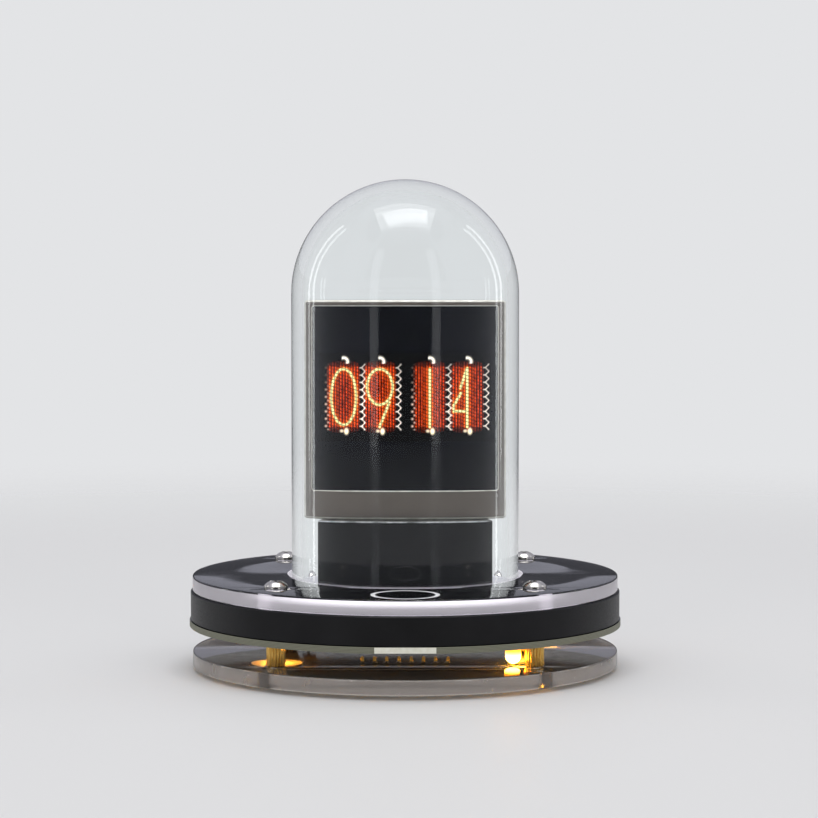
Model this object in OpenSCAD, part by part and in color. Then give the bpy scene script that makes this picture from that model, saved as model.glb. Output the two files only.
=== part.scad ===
// Desk clock under a glass dome. A square colour panel on a black stand shows four glow tubes.
// The base is a stack of round plates held by four long screws on brass spacers.
// Millimetres, +Z up, origin on the table under the middle of the base, the panel faces -Y.

/* [Base stack] */
// Diameter of the round circuit board, the widest piece
board_d = 69.4; // [67:0.2:74]
// Distance from the board's edge in to the edge of both clear plates
plate_inset = 0.5; // [0.2:0.1:1]
// Distance from the board's edge in to the black housing's wall
housing_inset = 0.2; // [0.1:0.05:0.6]
// Thickness of the clear base plate
base_plate_t = 2.5; // [2:0.1:4]
// Thickness of the clear top plate
top_plate_t = 2.5; // [2:0.1:4]
// Thickness of the round circuit board
board_t = 1.0; // [0.8:0.1:1.6]
// Width of the flat left on the board's front edge where it was broken out of its panel
board_flat_w = 9.3; // [5:0.1:12]
// Height of the black housing
housing_h = 4.6; // [4.5:0.1:8]
// Thickness of the housing's deck
deck_t = 1.0; // [0.8:0.1:1.1]
// Thickness of the housing's round wall
housing_wall = 1.6; // [1:0.1:2.4]
// Height of the brass spacers, which is the gap under the circuit board
spacer_h = 4.0; // [3.8:0.1:8]
// Outer diameter of the brass spacers
spacer_d = 3.0; // [2.8:0.1:4.2]
// Number of flutes round a brass spacer
spacer_flutes = 18; // [12:1:24]
// Distance from the board's edge in to the axis of each fixing screw
screw_edge = 6.4; // [5.6:0.1:7]
// Diameter of the screw bosses inside the housing
boss_d = 6.0; // [5:0.1:7]

/* [Screws] */
// Thread diameter of the fixing screws
screw_d = 1.9; // [1.7:0.05:2.2]
// Diametral clearance of a screw in a plain hole
screw_hole_clearance = 0.3; // [0.2:0.05:0.6]
// Diametral clearance of a screw in a thread
thread_clearance = 0.06; // [0.04:0.01:0.1]
// Diameter of the round heads on the top plate
pan_head_d = 3.7; // [3.4:0.1:5]
// Height of the round heads on the top plate
pan_head_h = 1.3; // [1:0.1:1.8]
// Length of the top screws that is engaged in the spacers
top_screw_grip = 1.9; // [1.4:0.1:2.2]
// Diameter of the thin heads that serve as feet
foot_head_d = 4.2; // [3.8:0.1:6]
// Height of the thin heads that serve as feet
foot_head_h = 0.6; // [0.5:0.05:1.2]
// Length of the foot screws that is engaged in the spacers
foot_screw_grip = 1.6; // [1.2:0.1:1.8]

/* [Dome] */
// Outer diameter of the glass dome
dome_d = 36.5; // [36:0.1:37.5]
// Wall thickness of the glass dome
dome_wall = 1.7; // [1.2:0.1:1.9]
// Height of the glass dome from its rim to its crown
dome_h = 65.8; // [64:0.2:90]
// Radial gap between the dome and the hole in the top plate
dome_gap = 0.45; // [0.3:0.05:0.8]

/* [Touch ring] */
// Outer diameter of the ring engraved in the top plate
touch_d = 10.6; // [8:0.1:11]
// Width of the engraved line
touch_line_w = 0.7; // [0.4:0.05:1]
// Depth of the engraved line
touch_line_depth = 0.4; // [0.2:0.05:0.8]
// Distance from the top plate's edge in to the ring's centre
touch_edge = 6.4; // [6:0.1:6.8]
// Wire diameter of the touch spring under the ring
touch_wire_d = 0.5; // [0.4:0.05:0.7]
// Outer diameter of the touch spring
touch_spring_d = 7.6; // [6:0.1:8]
// Number of turns in the touch spring
touch_turns = 3; // [2:1:3]

/* [Display panel] */
// Width of the panel
panel_w = 31.5; // [30:0.1:31.6]
// Height of the panel
panel_h = 34.5; // [32:0.1:36]
// Thickness of the panel
panel_t = 2.0; // [1.8:0.1:2.4]
// Side of the square window
window_side = 29.0; // [26:0.1:29.4]
// Height of the bezel above the window
window_top_margin = 0.95; // [0.6:0.05:2]
// Sheet thickness of the bezel
bezel_t = 0.25; // [0.2:0.05:0.4]
// Thickness of the glass sandwich in the panel
panel_glass_t = 0.9; // [0.7:0.05:1.1]
// Gap between the panel's inner layers and its bezel
panel_fit = 0.1; // [0.05:0.05:0.2]
// Distance from the clock's axis to the panel's front face
panel_front_y = 4.0; // [3.4:0.1:4.2]
// Thickness of the foam tape behind the panel
tape_t = 0.5; // [0.3:0.1:1]
// Width of each strip of foam tape
tape_w = 5; // [3:0.5:8]
// Distance from the tape's ends in from the upright board's edges
tape_margin = 1.5; // [0.5:0.5:3]
// Distance from the panel's foot up to the lower strip of tape
tape_rise = 6; // [4:0.5:8]

/* [Display board and flex] */
// Width of the upright display board
upright_w = 21.0; // [19:0.1:21.2]
// Thickness of the upright display board
upright_t = 1.0; // [0.8:0.1:1.2]
// Distance from the panel's top edge down to the upright board's top edge
upright_drop = 2.2; // [1:0.1:8]
// Width of the flex cable
flex_w = 19.0; // [12:0.5:19.5]
// Thickness of the flex cable
flex_t = 0.15; // [0.1:0.01:0.2]
// Length of the flex cable that is bonded to the glass
flex_bond = 2.0; // [1.5:0.1:3]
// Length of the flex cable that is held in its socket
flex_grip = 2.6; // [2:0.1:3.2]
// Height of the socket that takes the flex cable
flex_socket_h = 4.6; // [3.5:0.1:5.5]
// Depth of the socket that takes the flex cable
flex_socket_depth = 1.9; // [1.6:0.1:2.2]
// Distance from the stand's top down to the flex socket's mouth
flex_socket_drop = 3.4; // [2.6:0.1:4]
// Spacing of the header pins
pin_pitch = 2.0; // [1.8:0.1:2.54]
// Number of header pins
pin_count = 8; // [6:1:8]
// Side of the square header pins
pin_side = 0.5; // [0.4:0.05:0.6]
// Length of the pins below the circuit board
pin_tail = 2.0; // [1:0.1:2.4]
// Length of the pins on the back of the upright board
pin_lap = 4.0; // [3:0.1:5]
// Height of the header's plastic strip
header_h = 2.0; // [1.6:0.1:2.4]
// Depth of the header's plastic strip
header_depth = 2.0; // [1.8:0.1:2.4]

/* [Stand] */
// Width of the black stand
stand_w = 26.4; // [25:0.1:26.5]
// Height of the black stand
stand_h = 12.1; // [11:0.1:14]
// Distance from the clock's axis to the stand's front face
stand_front_y = 9.5; // [8.5:0.1:9.6]
// Distance from the clock's axis to the stand's back face
stand_back_y = 5.5; // [5:0.1:8]
// Wall thickness of the stand
stand_wall = 1.2; // [1:0.1:1.6]
// Width of each ledge that carries the panel beside the slot
stand_ledge_w = 2.4; // [2:0.1:2.5]
// Thread diameter of the two stand screws
stand_screw_d = 1.6; // [1.4:0.1:1.8]
// Head diameter of the two stand screws
stand_screw_head_d = 3.0; // [2.6:0.1:3.4]
// Head height of the two stand screws
stand_screw_head_h = 0.9; // [0.7:0.1:1.1]
// Length of the two stand screws under the head
stand_screw_len = 5.0; // [4:0.5:7]
// Diameter of the screw bosses in the stand
stand_boss_d = 4.4; // [3.6:0.1:4.6]

/* [Lit digits] */
// Height of a lit digit
digit_h = 9.4; // [8:0.1:10]
// Width of a lit digit
digit_w = 4.1; // [3.4:0.1:4.6]
// Width of a digit's stroke
stroke_w = 0.55; // [0.4:0.05:0.7]
// Thickness of the strokes on the panel's glass
digit_t = 0.1; // [0.06:0.01:0.2]
// Distance between the middles of the two digits of a pair
digit_pitch = 5.8; // [5.2:0.1:6.4]
// Distance between the middles of the two pairs
pair_pitch = 13.7; // [12.5:0.1:14.5]
// Distance from the window's middle up to the digits' middle
digit_rise = 0.3; // [-2:0.1:2]

/* [Electronics] */
// Diameter of an amber lamp under the board
lamp_d = 2.4; // [2:0.1:2.6]
// Height of an amber lamp from the tip of its round end to the board
lamp_h = 3.6; // [3.2:0.1:3.7]
// Length of the lamp's leads between its body and the board
lamp_lead_l = 0.7; // [0.4:0.1:1]
// Side of the lamp's square leads
lamp_lead_t = 0.45; // [0.3:0.05:0.6]
// Spacing of the lamp's two leads
lamp_lead_pitch = 1.3; // [1.1:0.1:1.4]
// Gap between each spacer and its amber lamp
lamp_gap = 0.6; // [0.3:0.1:2]
// Width of the power socket
socket_w = 8.9; // [8.6:0.1:9.2]
// Height of the power socket
socket_h = 3.2; // [3:0.05:3.4]
// Depth of the power socket
socket_depth = 7.3; // [6.5:0.1:9]
// Sheet thickness of the power socket's shell
socket_wall = 0.3; // [0.2:0.05:0.4]
// Distance from the housing's wall in to the power socket's mouth
socket_sink = 0.2; // [0.1:0.05:0.6]
// Clearance round the power socket in the housing's wall
socket_gap = 0.25; // [0.15:0.05:0.5]
// Width of the radio module
radio_w = 16; // [14:0.5:17]
// Length of the radio module
radio_l = 24; // [20:0.5:25]
// Thickness of the radio module's board
radio_board_t = 0.8; // [0.6:0.1:1]
// Height of the radio module's metal lid
shield_h = 1.7; // [1.4:0.1:1.8]
// Distance from the lid's edge to the radio board's edge
shield_margin = 2; // [1.5:0.5:3]
// Length of the radio board that the lid leaves bare for the antenna
antenna_l = 5; // [4:0.5:7]
// Room between the larger board parts and the housing's wall or bosses
wall_room = 0.8; // [0.5:0.1:1.5]
// Spacing of the grid on which the small parts sit
part_grid = 3.0; // [2.8:0.1:3.2]
// Length of a small resistor
resistor_l = 1.6; // [1.2:0.1:2]
// Width of a small resistor
resistor_w = 0.8; // [0.6:0.1:1.2]
// Height of a small resistor
resistor_h = 0.5; // [0.4:0.05:0.8]
// Length of a small capacitor
capacitor_l = 2.0; // [1.6:0.1:2.4]
// Width of a small capacitor
capacitor_w = 1.25; // [1:0.05:1.6]
// Height of a small capacitor
capacitor_h = 1.1; // [0.8:0.1:1.4]
// Length of the large capacitor
bulk_l = 7.2; // [6:0.1:7.6]
// Width of the large capacitor
bulk_w = 4.2; // [3.2:0.1:4.4]
// Height of the large capacitor
bulk_h = 2.6; // [1.8:0.1:3]
// Width of the regulator's body
regulator_w = 6.5; // [6:0.1:6.8]
// Depth of the regulator's body
regulator_l = 3.5; // [3:0.1:3.8]
// Height of the regulator's body
regulator_h = 1.6; // [1.4:0.1:1.9]
// Length of the regulator's legs and of its tab
regulator_leg = 1.6; // [1.2:0.1:2]
// Spacing of the regulator's legs
regulator_pitch = 2.3; // [2:0.1:2.5]
// Width of a chip leg
leg_w = 0.6; // [0.4:0.05:0.7]
// Width of the clock chip's body
chip_w = 5.0; // [4.5:0.1:5.4]
// Depth of the clock chip's body
chip_l = 3.9; // [3.4:0.1:4.2]
// Height of the clock chip's body
chip_h = 1.4; // [1.2:0.1:1.8]
// Spacing of the clock chip's legs
chip_pitch = 1.27; // [1:0.01:1.3]
// Length of the clock chip's legs
chip_leg = 1.2; // [1:0.1:1.4]
// Diameter of the clock crystal's can
crystal_d = 2.0; // [1.6:0.1:2.2]
// Length of the clock crystal's can
crystal_l = 6.0; // [5:0.1:6.4]
// Width of the power transistor behind the display
transistor_w = 3.0; // [2.6:0.1:3.4]
// Height of the power transistor behind the display
transistor_h = 1.5; // [1.2:0.1:1.8]
// Thickness of the power transistor behind the display
transistor_t = 1.1; // [0.8:0.1:1.3]

/* [Hidden] */
$fn = 96;

eps = 0.01;             // overlap of a cut past the face that it opens
part_gap = 0.3;         // room between pieces that pass each other without a fit
boss_sink = 0.2;        // how far a boss in the stand runs into the wall beside it
screw_tip_room = 0.6;   // room past the tip of a stand screw
flex_gap = 0.5;         // room at each side of the flex cable where it leaves the bezel
flex_socket_cheek = 0.8;    // wall of the flex socket at each side of the cable
pin_hole_room = 0.1;    // diametral room of a pin in the circuit board
header_fit = 0.03;      // room of a pin in the header's strip, at each side
head_recess = [0.55, 0.5];  // width and depth of the cross in a round head, as shares of the head
foot_recess = [0.5, 0.6];   // the same in a thin head
head_rim_share = 0.25;  // how much of a round head's height is its straight rim
flute_share = 0.55;     // width of a flute as a share of the spacing of the flutes
flute_shift = 0.15;     // how far out a flute's middle lies, as a share of its width
spring_steps = 24;      // straight pieces in one turn of the touch spring
spring_taper = 0.72;    // radius of the touch spring's top turn as a share of its bottom turn
socket_corner_cut = 0.35;   // how much smaller than half its height the socket's corner radius is
tongue_setback = 1.9;   // from the socket's mouth back to its tongue's tip
tongue_t = 0.7;         // thickness of the tongue
tongue_step = 0.2;      // how much narrower the tongue is than its root, at each side
tongue_root_l = 1.4;    // length of the tongue's thick root
tongue_root_room = [0.8, 0.4];  // room beside the root, and over and under it

// Round sizes of the stack, all from the board's edge
plate_d = board_d - 2 * plate_inset;
housing_d = board_d - 2 * housing_inset;
screw_pitch = (board_d / 2 - screw_edge) * sqrt(2);
touch_y = plate_d / 2 - touch_edge;

// Heights of the stack, from the table up
base_plate_z = foot_head_h;
spacer_z = base_plate_z + base_plate_t;
board_z = spacer_z + spacer_h;
housing_z = board_z + board_t;
deck_z = housing_z + housing_h - deck_t;
top_plate_z = deck_z + deck_t;
top_z = top_plate_z + top_plate_t;
stand_top_z = top_plate_z + stand_h;
panel_top_z = stand_top_z + panel_h;
header_top_z = housing_z + header_h;

// Depths through the display, from the front back
panel_y = -panel_front_y;
glass_y = panel_y + bezel_t;
backlight_y = glass_y + panel_glass_t;
tape_y = panel_y + panel_t;
upright_y = tape_y + tape_t;
upright_back_y = upright_y + upright_t;
pin_y = upright_back_y + pin_side / 2;
backlight_t = tape_y - backlight_y;
flex_y = backlight_y - flex_t;

window_top_z = panel_top_z - window_top_margin;
window_bottom_z = window_top_z - window_side;
layer_w = panel_w - 2 * (bezel_t + panel_fit);
layer_h = panel_h - 2 * (bezel_t + panel_fit);
layer_z = stand_top_z + bezel_t + panel_fit;
upright_top_z = panel_top_z - upright_drop;
slot_w = stand_w - 2 * stand_ledge_w;
slot_front_y = upright_y - flex_socket_depth - part_gap;
slot_back_y = upright_back_y + pin_side + part_gap;
flex_socket_w = flex_w + 2 * flex_socket_cheek;
flex_socket_top_z = stand_top_z - flex_socket_drop;
flex_socket_z = flex_socket_top_z - flex_socket_h;
stand_boss_x = stand_w / 2 - stand_wall - stand_boss_d / 2 + boss_sink;
stand_boss_y = stand_back_y - stand_wall - stand_boss_d / 2 + boss_sink;
hole_d = screw_d + screw_hole_clearance;
thread_hole_d = screw_d + thread_clearance;
cavity_r = housing_d / 2 - housing_wall;
cavity_h = housing_h - deck_t;

screw_places = [for (x = [-1, 1], y = [-1, 1]) [x * screw_pitch / 2, y * screw_pitch / 2]];

module at_screws() {
    for (p = screw_places) translate([p[0], p[1], 0]) children();
}

// A rod or hole standing on z, of diameter d and height h
module post(d, z, h) {
    translate([0, 0, z]) cylinder(d = d, h = h);
}

// A block given by its middle in X and Y, its foot in Z and its size
module block(middle, z, size) {
    translate([middle[0] - size[0] / 2, middle[1] - size[1] / 2, z]) cube(size);
}

// A slab that faces -Y, centred on X, from depth y back by t, from height z up by h
module slab(w, y, t, z, h) {
    translate([-w / 2, y, z]) cube([w, t, h]);
}

// The cross cut into a screw head, from height z down by depth
module cross_recess(width, z, depth) {
    arm = width / 4;
    for (turn = [0, 90]) rotate(turn) translate([-width / 2, -arm / 2, z - depth])
        cube([width, arm, depth + eps]);
}

// ---- Base stack ----

module foot_screw() {
    difference() {
        union() {
            post(foot_head_d, 0, foot_head_h);
            post(screw_d, foot_head_h - eps, base_plate_t + foot_screw_grip + eps);
        }
        mirror([0, 0, 1]) cross_recess(foot_head_d * foot_recess[0], 0, foot_head_h * foot_recess[1]);
    }
}

module foot_screws() {
    color("silver") at_screws() foot_screw();
}

module base_plate() {
    color([0.8, 0.85, 0.88, 0.35]) difference() {
        post(plate_d, base_plate_z, base_plate_t);
        at_screws() post(hole_d, base_plate_z - eps, base_plate_t + 2 * eps);
    }
}

// A fluted brass spacer, threaded through
module base_spacer() {
    flute_d = PI * spacer_d / spacer_flutes * flute_share;
    translate([0, 0, spacer_z]) linear_extrude(spacer_h) difference() {
        circle(d = spacer_d);
        circle(d = thread_hole_d);
        for (k = [0 : spacer_flutes - 1]) rotate(k * 360 / spacer_flutes)
            translate([spacer_d / 2 + flute_d * flute_shift, 0]) circle(d = flute_d, $fn = 16);
    }
}

module base_spacers() {
    color("goldenrod") at_screws() base_spacer();
}

pin_xs = [for (k = [0 : pin_count - 1]) (k - (pin_count - 1) / 2) * pin_pitch];

module main_board() {
    pin_hole_d = pin_side * sqrt(2) + pin_hole_room;
    flat_y = sqrt(pow(board_d / 2, 2) - pow(board_flat_w / 2, 2));
    color([0.05, 0.09, 0.06]) difference() {
        post(board_d, board_z, board_t);
        at_screws() post(hole_d, board_z - eps, board_t + 2 * eps);
        for (x = pin_xs) translate([x, pin_y, 0]) post(pin_hole_d, board_z - eps, board_t + 2 * eps);
        translate([-board_flat_w, -flat_y - board_flat_w, board_z - eps])
            cube([2 * board_flat_w, board_flat_w, board_t + 2 * eps]);
    }
}

module base_housing() {
    notch_w = socket_w + 2 * socket_gap;
    notch_h = socket_h + socket_gap;
    color([0.03, 0.03, 0.03]) difference() {
        union() {
            difference() {
                post(housing_d, housing_z, housing_h);
                post(2 * cavity_r, housing_z - eps, cavity_h + eps);
            }
            at_screws() post(boss_d, housing_z, cavity_h + eps);
        }
        at_screws() post(hole_d, housing_z - eps, housing_h + 2 * eps);
        translate([-slot_w / 2, upright_y - part_gap, deck_z - eps])
            cube([slot_w, slot_back_y - upright_y + part_gap, deck_t + 2 * eps]);
        for (side = [-1, 1]) translate([side * stand_boss_x, stand_boss_y, 0])
            post(stand_screw_d + screw_hole_clearance, deck_z - eps, deck_t + 2 * eps);
        translate([-notch_w / 2, cavity_r - housing_wall, housing_z - eps])
            cube([notch_w, 3 * housing_wall, notch_h + eps]);
    }
}

module top_plate() {
    touch_inner_d = touch_d - 2 * touch_line_w;
    color([0.8, 0.85, 0.88, 0.35]) difference() {
        post(plate_d, top_plate_z, top_plate_t);
        post(dome_d + 2 * dome_gap, top_plate_z - eps, top_plate_t + 2 * eps);
        at_screws() post(hole_d, top_plate_z - eps, top_plate_t + 2 * eps);
        translate([0, -touch_y, 0]) difference() {
            post(touch_d, top_z - touch_line_depth, touch_line_depth + eps);
            post(touch_inner_d, top_z - touch_line_depth - eps, touch_line_depth + 3 * eps);
        }
    }
}

// A round-headed screw: the head is a cap of a ball on a short rim
module top_screw() {
    rim_h = pan_head_h * head_rim_share;
    cap_h = pan_head_h - rim_h;
    cap_r = (pow(pan_head_d / 2, 2) + pow(cap_h, 2)) / (2 * cap_h);
    shank = top_plate_t + housing_h + board_t + top_screw_grip;
    difference() {
        union() {
            post(screw_d, top_z - shank, shank + eps);
            intersection() {
                post(pan_head_d, top_z, pan_head_h);
                translate([0, 0, top_z + pan_head_h - cap_r]) sphere(r = cap_r);
            }
        }
        cross_recess(pan_head_d * head_recess[0], top_z + pan_head_h, pan_head_h * head_recess[1]);
    }
}

module top_screws() {
    color("silver") at_screws() top_screw();
}

// ---- Dome ----

module glass_dome() {
    r = dome_d / 2;
    inner_r = r - dome_wall;
    straight_h = dome_h - r;
    rim_round = dome_wall * 0.3;
    color([0.8, 0.9, 0.95, 0.25]) translate([0, 0, top_plate_z]) rotate_extrude() {
        difference() {
            union() {
                translate([inner_r, 0]) square([dome_wall, straight_h]);
                translate([0, straight_h]) intersection() {
                    difference() {
                        circle(r = r);
                        circle(r = inner_r);
                    }
                    square(r + eps);
                }
            }
            difference() {
                translate([r - rim_round, -eps]) square([rim_round + eps, rim_round + eps]);
                translate([r - rim_round, rim_round]) circle(r = rim_round, $fn = 32);
            }
        }
    }
}

// ---- Stand and display ----

module display_stand() {
    depth = stand_front_y + stand_back_y;
    inner_w = stand_w - 2 * stand_wall;
    color([0.03, 0.03, 0.035]) difference() {
        union() {
            difference() {
                translate([-stand_w / 2, -stand_front_y, top_plate_z]) cube([stand_w, depth, stand_h]);
                translate([-inner_w / 2, -stand_front_y + stand_wall, top_plate_z - eps])
                    cube([inner_w, depth - 2 * stand_wall, stand_h - stand_wall + eps]);
            }
            for (side = [-1, 1]) translate([side * stand_boss_x, stand_boss_y, 0])
                post(stand_boss_d, top_plate_z, stand_h - stand_wall + eps);
        }
        translate([-slot_w / 2, slot_front_y, stand_top_z - stand_wall - eps])
            cube([slot_w, slot_back_y - slot_front_y, stand_wall + 2 * eps]);
        for (side = [-1, 1]) translate([side * stand_boss_x, stand_boss_y, 0])
            post(stand_screw_d + thread_clearance, top_plate_z - eps,
                stand_screw_len - deck_t + screw_tip_room);
    }
}

module stand_screws() {
    color("silver") for (side = [-1, 1]) translate([side * stand_boss_x, stand_boss_y, 0]) difference() {
        union() {
            post(stand_screw_head_d, deck_z - stand_screw_head_h, stand_screw_head_h);
            post(stand_screw_d, deck_z - eps, stand_screw_len + eps);
        }
        mirror([0, 0, 1]) cross_recess(stand_screw_head_d * head_recess[0], -deck_z + stand_screw_head_h,
            stand_screw_head_h * head_recess[1]);
    }
}

module display_board() {
    color([0.04, 0.05, 0.05])
        slab(upright_w, upright_y, upright_t, header_top_z, upright_top_z - header_top_z);
}

// Small parts on the back of the upright board, in two rows, with one power transistor
module display_board_parts() {
    rows = [1.4, 2.4];      // how high the rows lie over the stand, in steps of the grid
    transistor_row = 3.8;
    color([0.25, 0.22, 0.18]) {
        for (row = rows, k = [-2 : 2])
            translate([k * part_grid - resistor_l / 2, upright_back_y, stand_top_z + row * part_grid])
                cube([resistor_l, resistor_h, resistor_w]);
        translate([-transistor_w / 2, upright_back_y, stand_top_z + transistor_row * part_grid])
            cube([transistor_w, transistor_t, transistor_h]);
    }
}

module header_strip() {
    strip_w = pin_count * pin_pitch;
    hole = pin_side + 2 * header_fit;
    color([0.05, 0.05, 0.05]) difference() {
        block([0, pin_y], housing_z, [strip_w, header_depth, header_h]);
        for (x = pin_xs) translate([x - hole / 2, pin_y - hole / 2, housing_z - eps])
            cube([hole, hole, header_h + 2 * eps]);
    }
}

module header_pins() {
    pin_z = board_z - pin_tail;
    color("gold") for (x = pin_xs)
        block([x, pin_y], pin_z, [pin_side, pin_side, header_top_z + pin_lap - pin_z]);
}

module panel_bezel() {
    color([0.62, 0.59, 0.56]) difference() {
        slab(panel_w, panel_y, panel_t, stand_top_z, panel_h);
        slab(panel_w - 2 * bezel_t, glass_y, panel_t, stand_top_z + bezel_t, panel_h - 2 * bezel_t);
        slab(window_side, panel_y - eps, bezel_t + 2 * eps, window_bottom_z, window_side);
        slab(flex_w + 2 * flex_gap, glass_y + bezel_t, panel_t, stand_top_z - eps, bezel_t + 2 * eps);
    }
}

module panel_glass() {
    color([0.02, 0.02, 0.03]) difference() {
        slab(layer_w, glass_y, panel_glass_t, layer_z, layer_h);
        slab(flex_w + 4 * panel_fit, flex_y - panel_fit, panel_glass_t, layer_z - eps,
            flex_bond + 2 * panel_fit);
    }
}

module panel_backlight() {
    color([0.9, 0.9, 0.9]) slab(layer_w, backlight_y, backlight_t, layer_z, layer_h);
}

// The flex cable hangs from the glass and runs down into its socket
module panel_flex() {
    flex_end_z = flex_socket_top_z - flex_grip;
    color([0.35, 0.2, 0.08])
        slab(flex_w, flex_y, flex_t, flex_end_z, layer_z + flex_bond - flex_end_z);
}

module flex_socket() {
    mouth_w = flex_w + 2 * panel_fit;
    color([0.85, 0.82, 0.75]) difference() {
        slab(flex_socket_w, upright_y - flex_socket_depth, flex_socket_depth, flex_socket_z,
            flex_socket_h);
        slab(mouth_w, flex_y - panel_fit, flex_t + 2 * panel_fit, flex_socket_top_z - flex_grip,
            flex_grip + eps);
    }
}

module panel_tape() {
    color([0.1, 0.1, 0.1]) for (z = [stand_top_z + tape_rise, upright_top_z - tape_margin - tape_w])
        slab(upright_w - 2 * tape_margin, tape_y, tape_t, z, tape_w);
}

// ---- The lit picture: four digits as thin strokes on the panel's glass ----

digit_mid_z = (window_top_z + window_bottom_z) / 2 + digit_rise;
digit_xs = [for (pair = [-1, 1], side = [-1, 1]) (pair * pair_pitch + side * digit_pitch) / 2];

// Shapes of the digits, as shares of a digit's height or width
nine_loop = 0.55;           // height of the nine's loop
nine_tail = [0.25, 0.055];  // where the tail leaves the loop
four_bar = 0.2;             // how far the four's bar lies under the middle
four_reach = 0.52;          // how far the bar reaches to the left
four_corners = [1.4, 2.6];  // strokes from the outer corners to the inner ones, sideways and down

function oval(w, h, n = 40) = [for (k = [0 : n - 1]) let (a = 360 * k / n)
    [w / 2 * cos(a), h / 2 * sin(a)]];

// An oval ring of the stroke's width
module oval_ring(w, h) {
    difference() {
        polygon(oval(w, h));
        polygon(oval(w - 2 * stroke_w, h - 2 * stroke_w));
    }
}

module digit_zero() {
    oval_ring(digit_w, digit_h);
}

module digit_nine() {
    loop_h = digit_h * nine_loop;
    tail_top = [digit_w * nine_tail[0], digit_h * nine_tail[1]];
    translate([0, (digit_h - loop_h) / 2]) oval_ring(digit_w, loop_h);
    polygon([tail_top, tail_top + [stroke_w, 0], [stroke_w / 2, -digit_h / 2],
        [-stroke_w / 2, -digit_h / 2]]);
}

module digit_one() {
    translate([-stroke_w / 2, -digit_h / 2]) square([stroke_w, digit_h]);
}

module digit_four() {
    half = stroke_w / 2;
    top_y = digit_h / 2;
    bar_y = -digit_h * four_bar;
    left_x = -digit_w * four_reach;
    difference() {
        polygon([[-half, top_y], [half, top_y], [half, -top_y], [-half, -top_y], [-half, bar_y],
            [left_x, bar_y], [left_x, bar_y + stroke_w]]);
        polygon([[-half, top_y - four_corners[1] * stroke_w], [-half, bar_y + stroke_w],
            [left_x + four_corners[0] * stroke_w, bar_y + stroke_w]]);
    }
}

// A digit's outline, stood up on the face of the panel's glass
module lit_digit(k) {
    translate([digit_xs[k], glass_y, digit_mid_z]) rotate([90, 0, 0]) linear_extrude(digit_t) children();
}

module lit_digits() {
    color("orange") {
        lit_digit(0) digit_zero();
        lit_digit(1) digit_nine();
        lit_digit(2) digit_one();
        lit_digit(3) digit_four();
    }
}

// ---- Touch spring ----

// A closed tube round a path: one ring of points for each path point, and a fan at each end
function tube_ring(p, turn_angle, r, sides) = [for (s = [0 : sides - 1]) let (a = 360 * s / sides)
    [p[0] + r * cos(a) * cos(turn_angle), p[1] + r * cos(a) * sin(turn_angle), p[2] + r * sin(a)]];

module touch_spring() {
    sides = 8;
    steps = spring_steps * touch_turns;
    coil_r = (touch_spring_d - touch_wire_d) / 2;
    rise = cavity_h - touch_wire_d;
    tip_r = coil_r * spring_taper;
    foot_z = housing_z + touch_wire_d / 2;
    rings = [for (k = [0 : steps]) let (share = k / steps, a = 360 * touch_turns * share,
        r = coil_r + (tip_r - coil_r) * share)
        tube_ring([r * cos(a), r * sin(a), foot_z + rise * share], a, touch_wire_d / 2, sides)];
    points = [for (ring = rings) each ring];
    walls = [for (k = [0 : steps - 1], s = [0 : sides - 1]) let (t = (s + 1) % sides)
        each [[k * sides + s, k * sides + t, (k + 1) * sides + t], [k * sides + s, (k + 1) * sides + t,
            (k + 1) * sides + s]]];
    foot = [for (s = [1 : sides - 2]) [0, s + 1, s]];
    tip = [for (s = [1 : sides - 2]) [steps * sides, steps * sides + s, steps * sides + s + 1]];
    color("silver") translate([0, -touch_y, 0])
        polyhedron(points = points, faces = concat(walls, foot, tip));
}

// ---- Electronics ----

// A round lamp body whose ball-shaped tip points down
module lamp_body() {
    r = lamp_d / 2;
    translate([0, 0, board_z - lamp_h + r]) rotate_extrude() {
        square([r, lamp_h - lamp_lead_l - r]);
        intersection() {
            circle(r = r);
            translate([0, -r]) square([r, r + eps]);
        }
    }
}

// Each lamp hangs on two leads under the board beside its spacer, a quarter turn on from the last
module amber_lamps() {
    lamp_offset = spacer_d / 2 + lamp_gap + lamp_d / 2;
    color("orange") for (turn = [0 : 90 : 270]) rotate(turn)
        translate([-screw_pitch / 2, -screw_pitch / 2 + lamp_offset, 0]) {
            lamp_body();
            for (side = [-1, 1])
                block([side * lamp_lead_pitch / 2, 0], board_z - lamp_lead_l - eps,
                    [lamp_lead_t, lamp_lead_t, lamp_lead_l + eps]);
        }
}

module rounded_slot(w, h) {
    r = h / 2 - socket_corner_cut;
    for (x = [-1, 1], y = [-1, 1]) translate([x * (w / 2 - r), y * (h / 2 - r)]) circle(r = r, $fn = 48);
    square([w - 2 * r, h], center = true);
    square([w, h - 2 * r], center = true);
}

socket_mouth_y = housing_d / 2 - socket_sink;

module socket_shell() {
    inner_w = socket_w - 2 * socket_wall;
    inner_h = socket_h - 2 * socket_wall;
    color("silver") translate([0, socket_mouth_y, housing_z + socket_h / 2]) rotate([90, 0, 0])
        difference() {
            linear_extrude(socket_depth) rounded_slot(socket_w, socket_h);
            translate([0, 0, -eps]) linear_extrude(socket_depth - socket_wall + eps)
                rounded_slot(inner_w, inner_h);
        }
}

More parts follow.
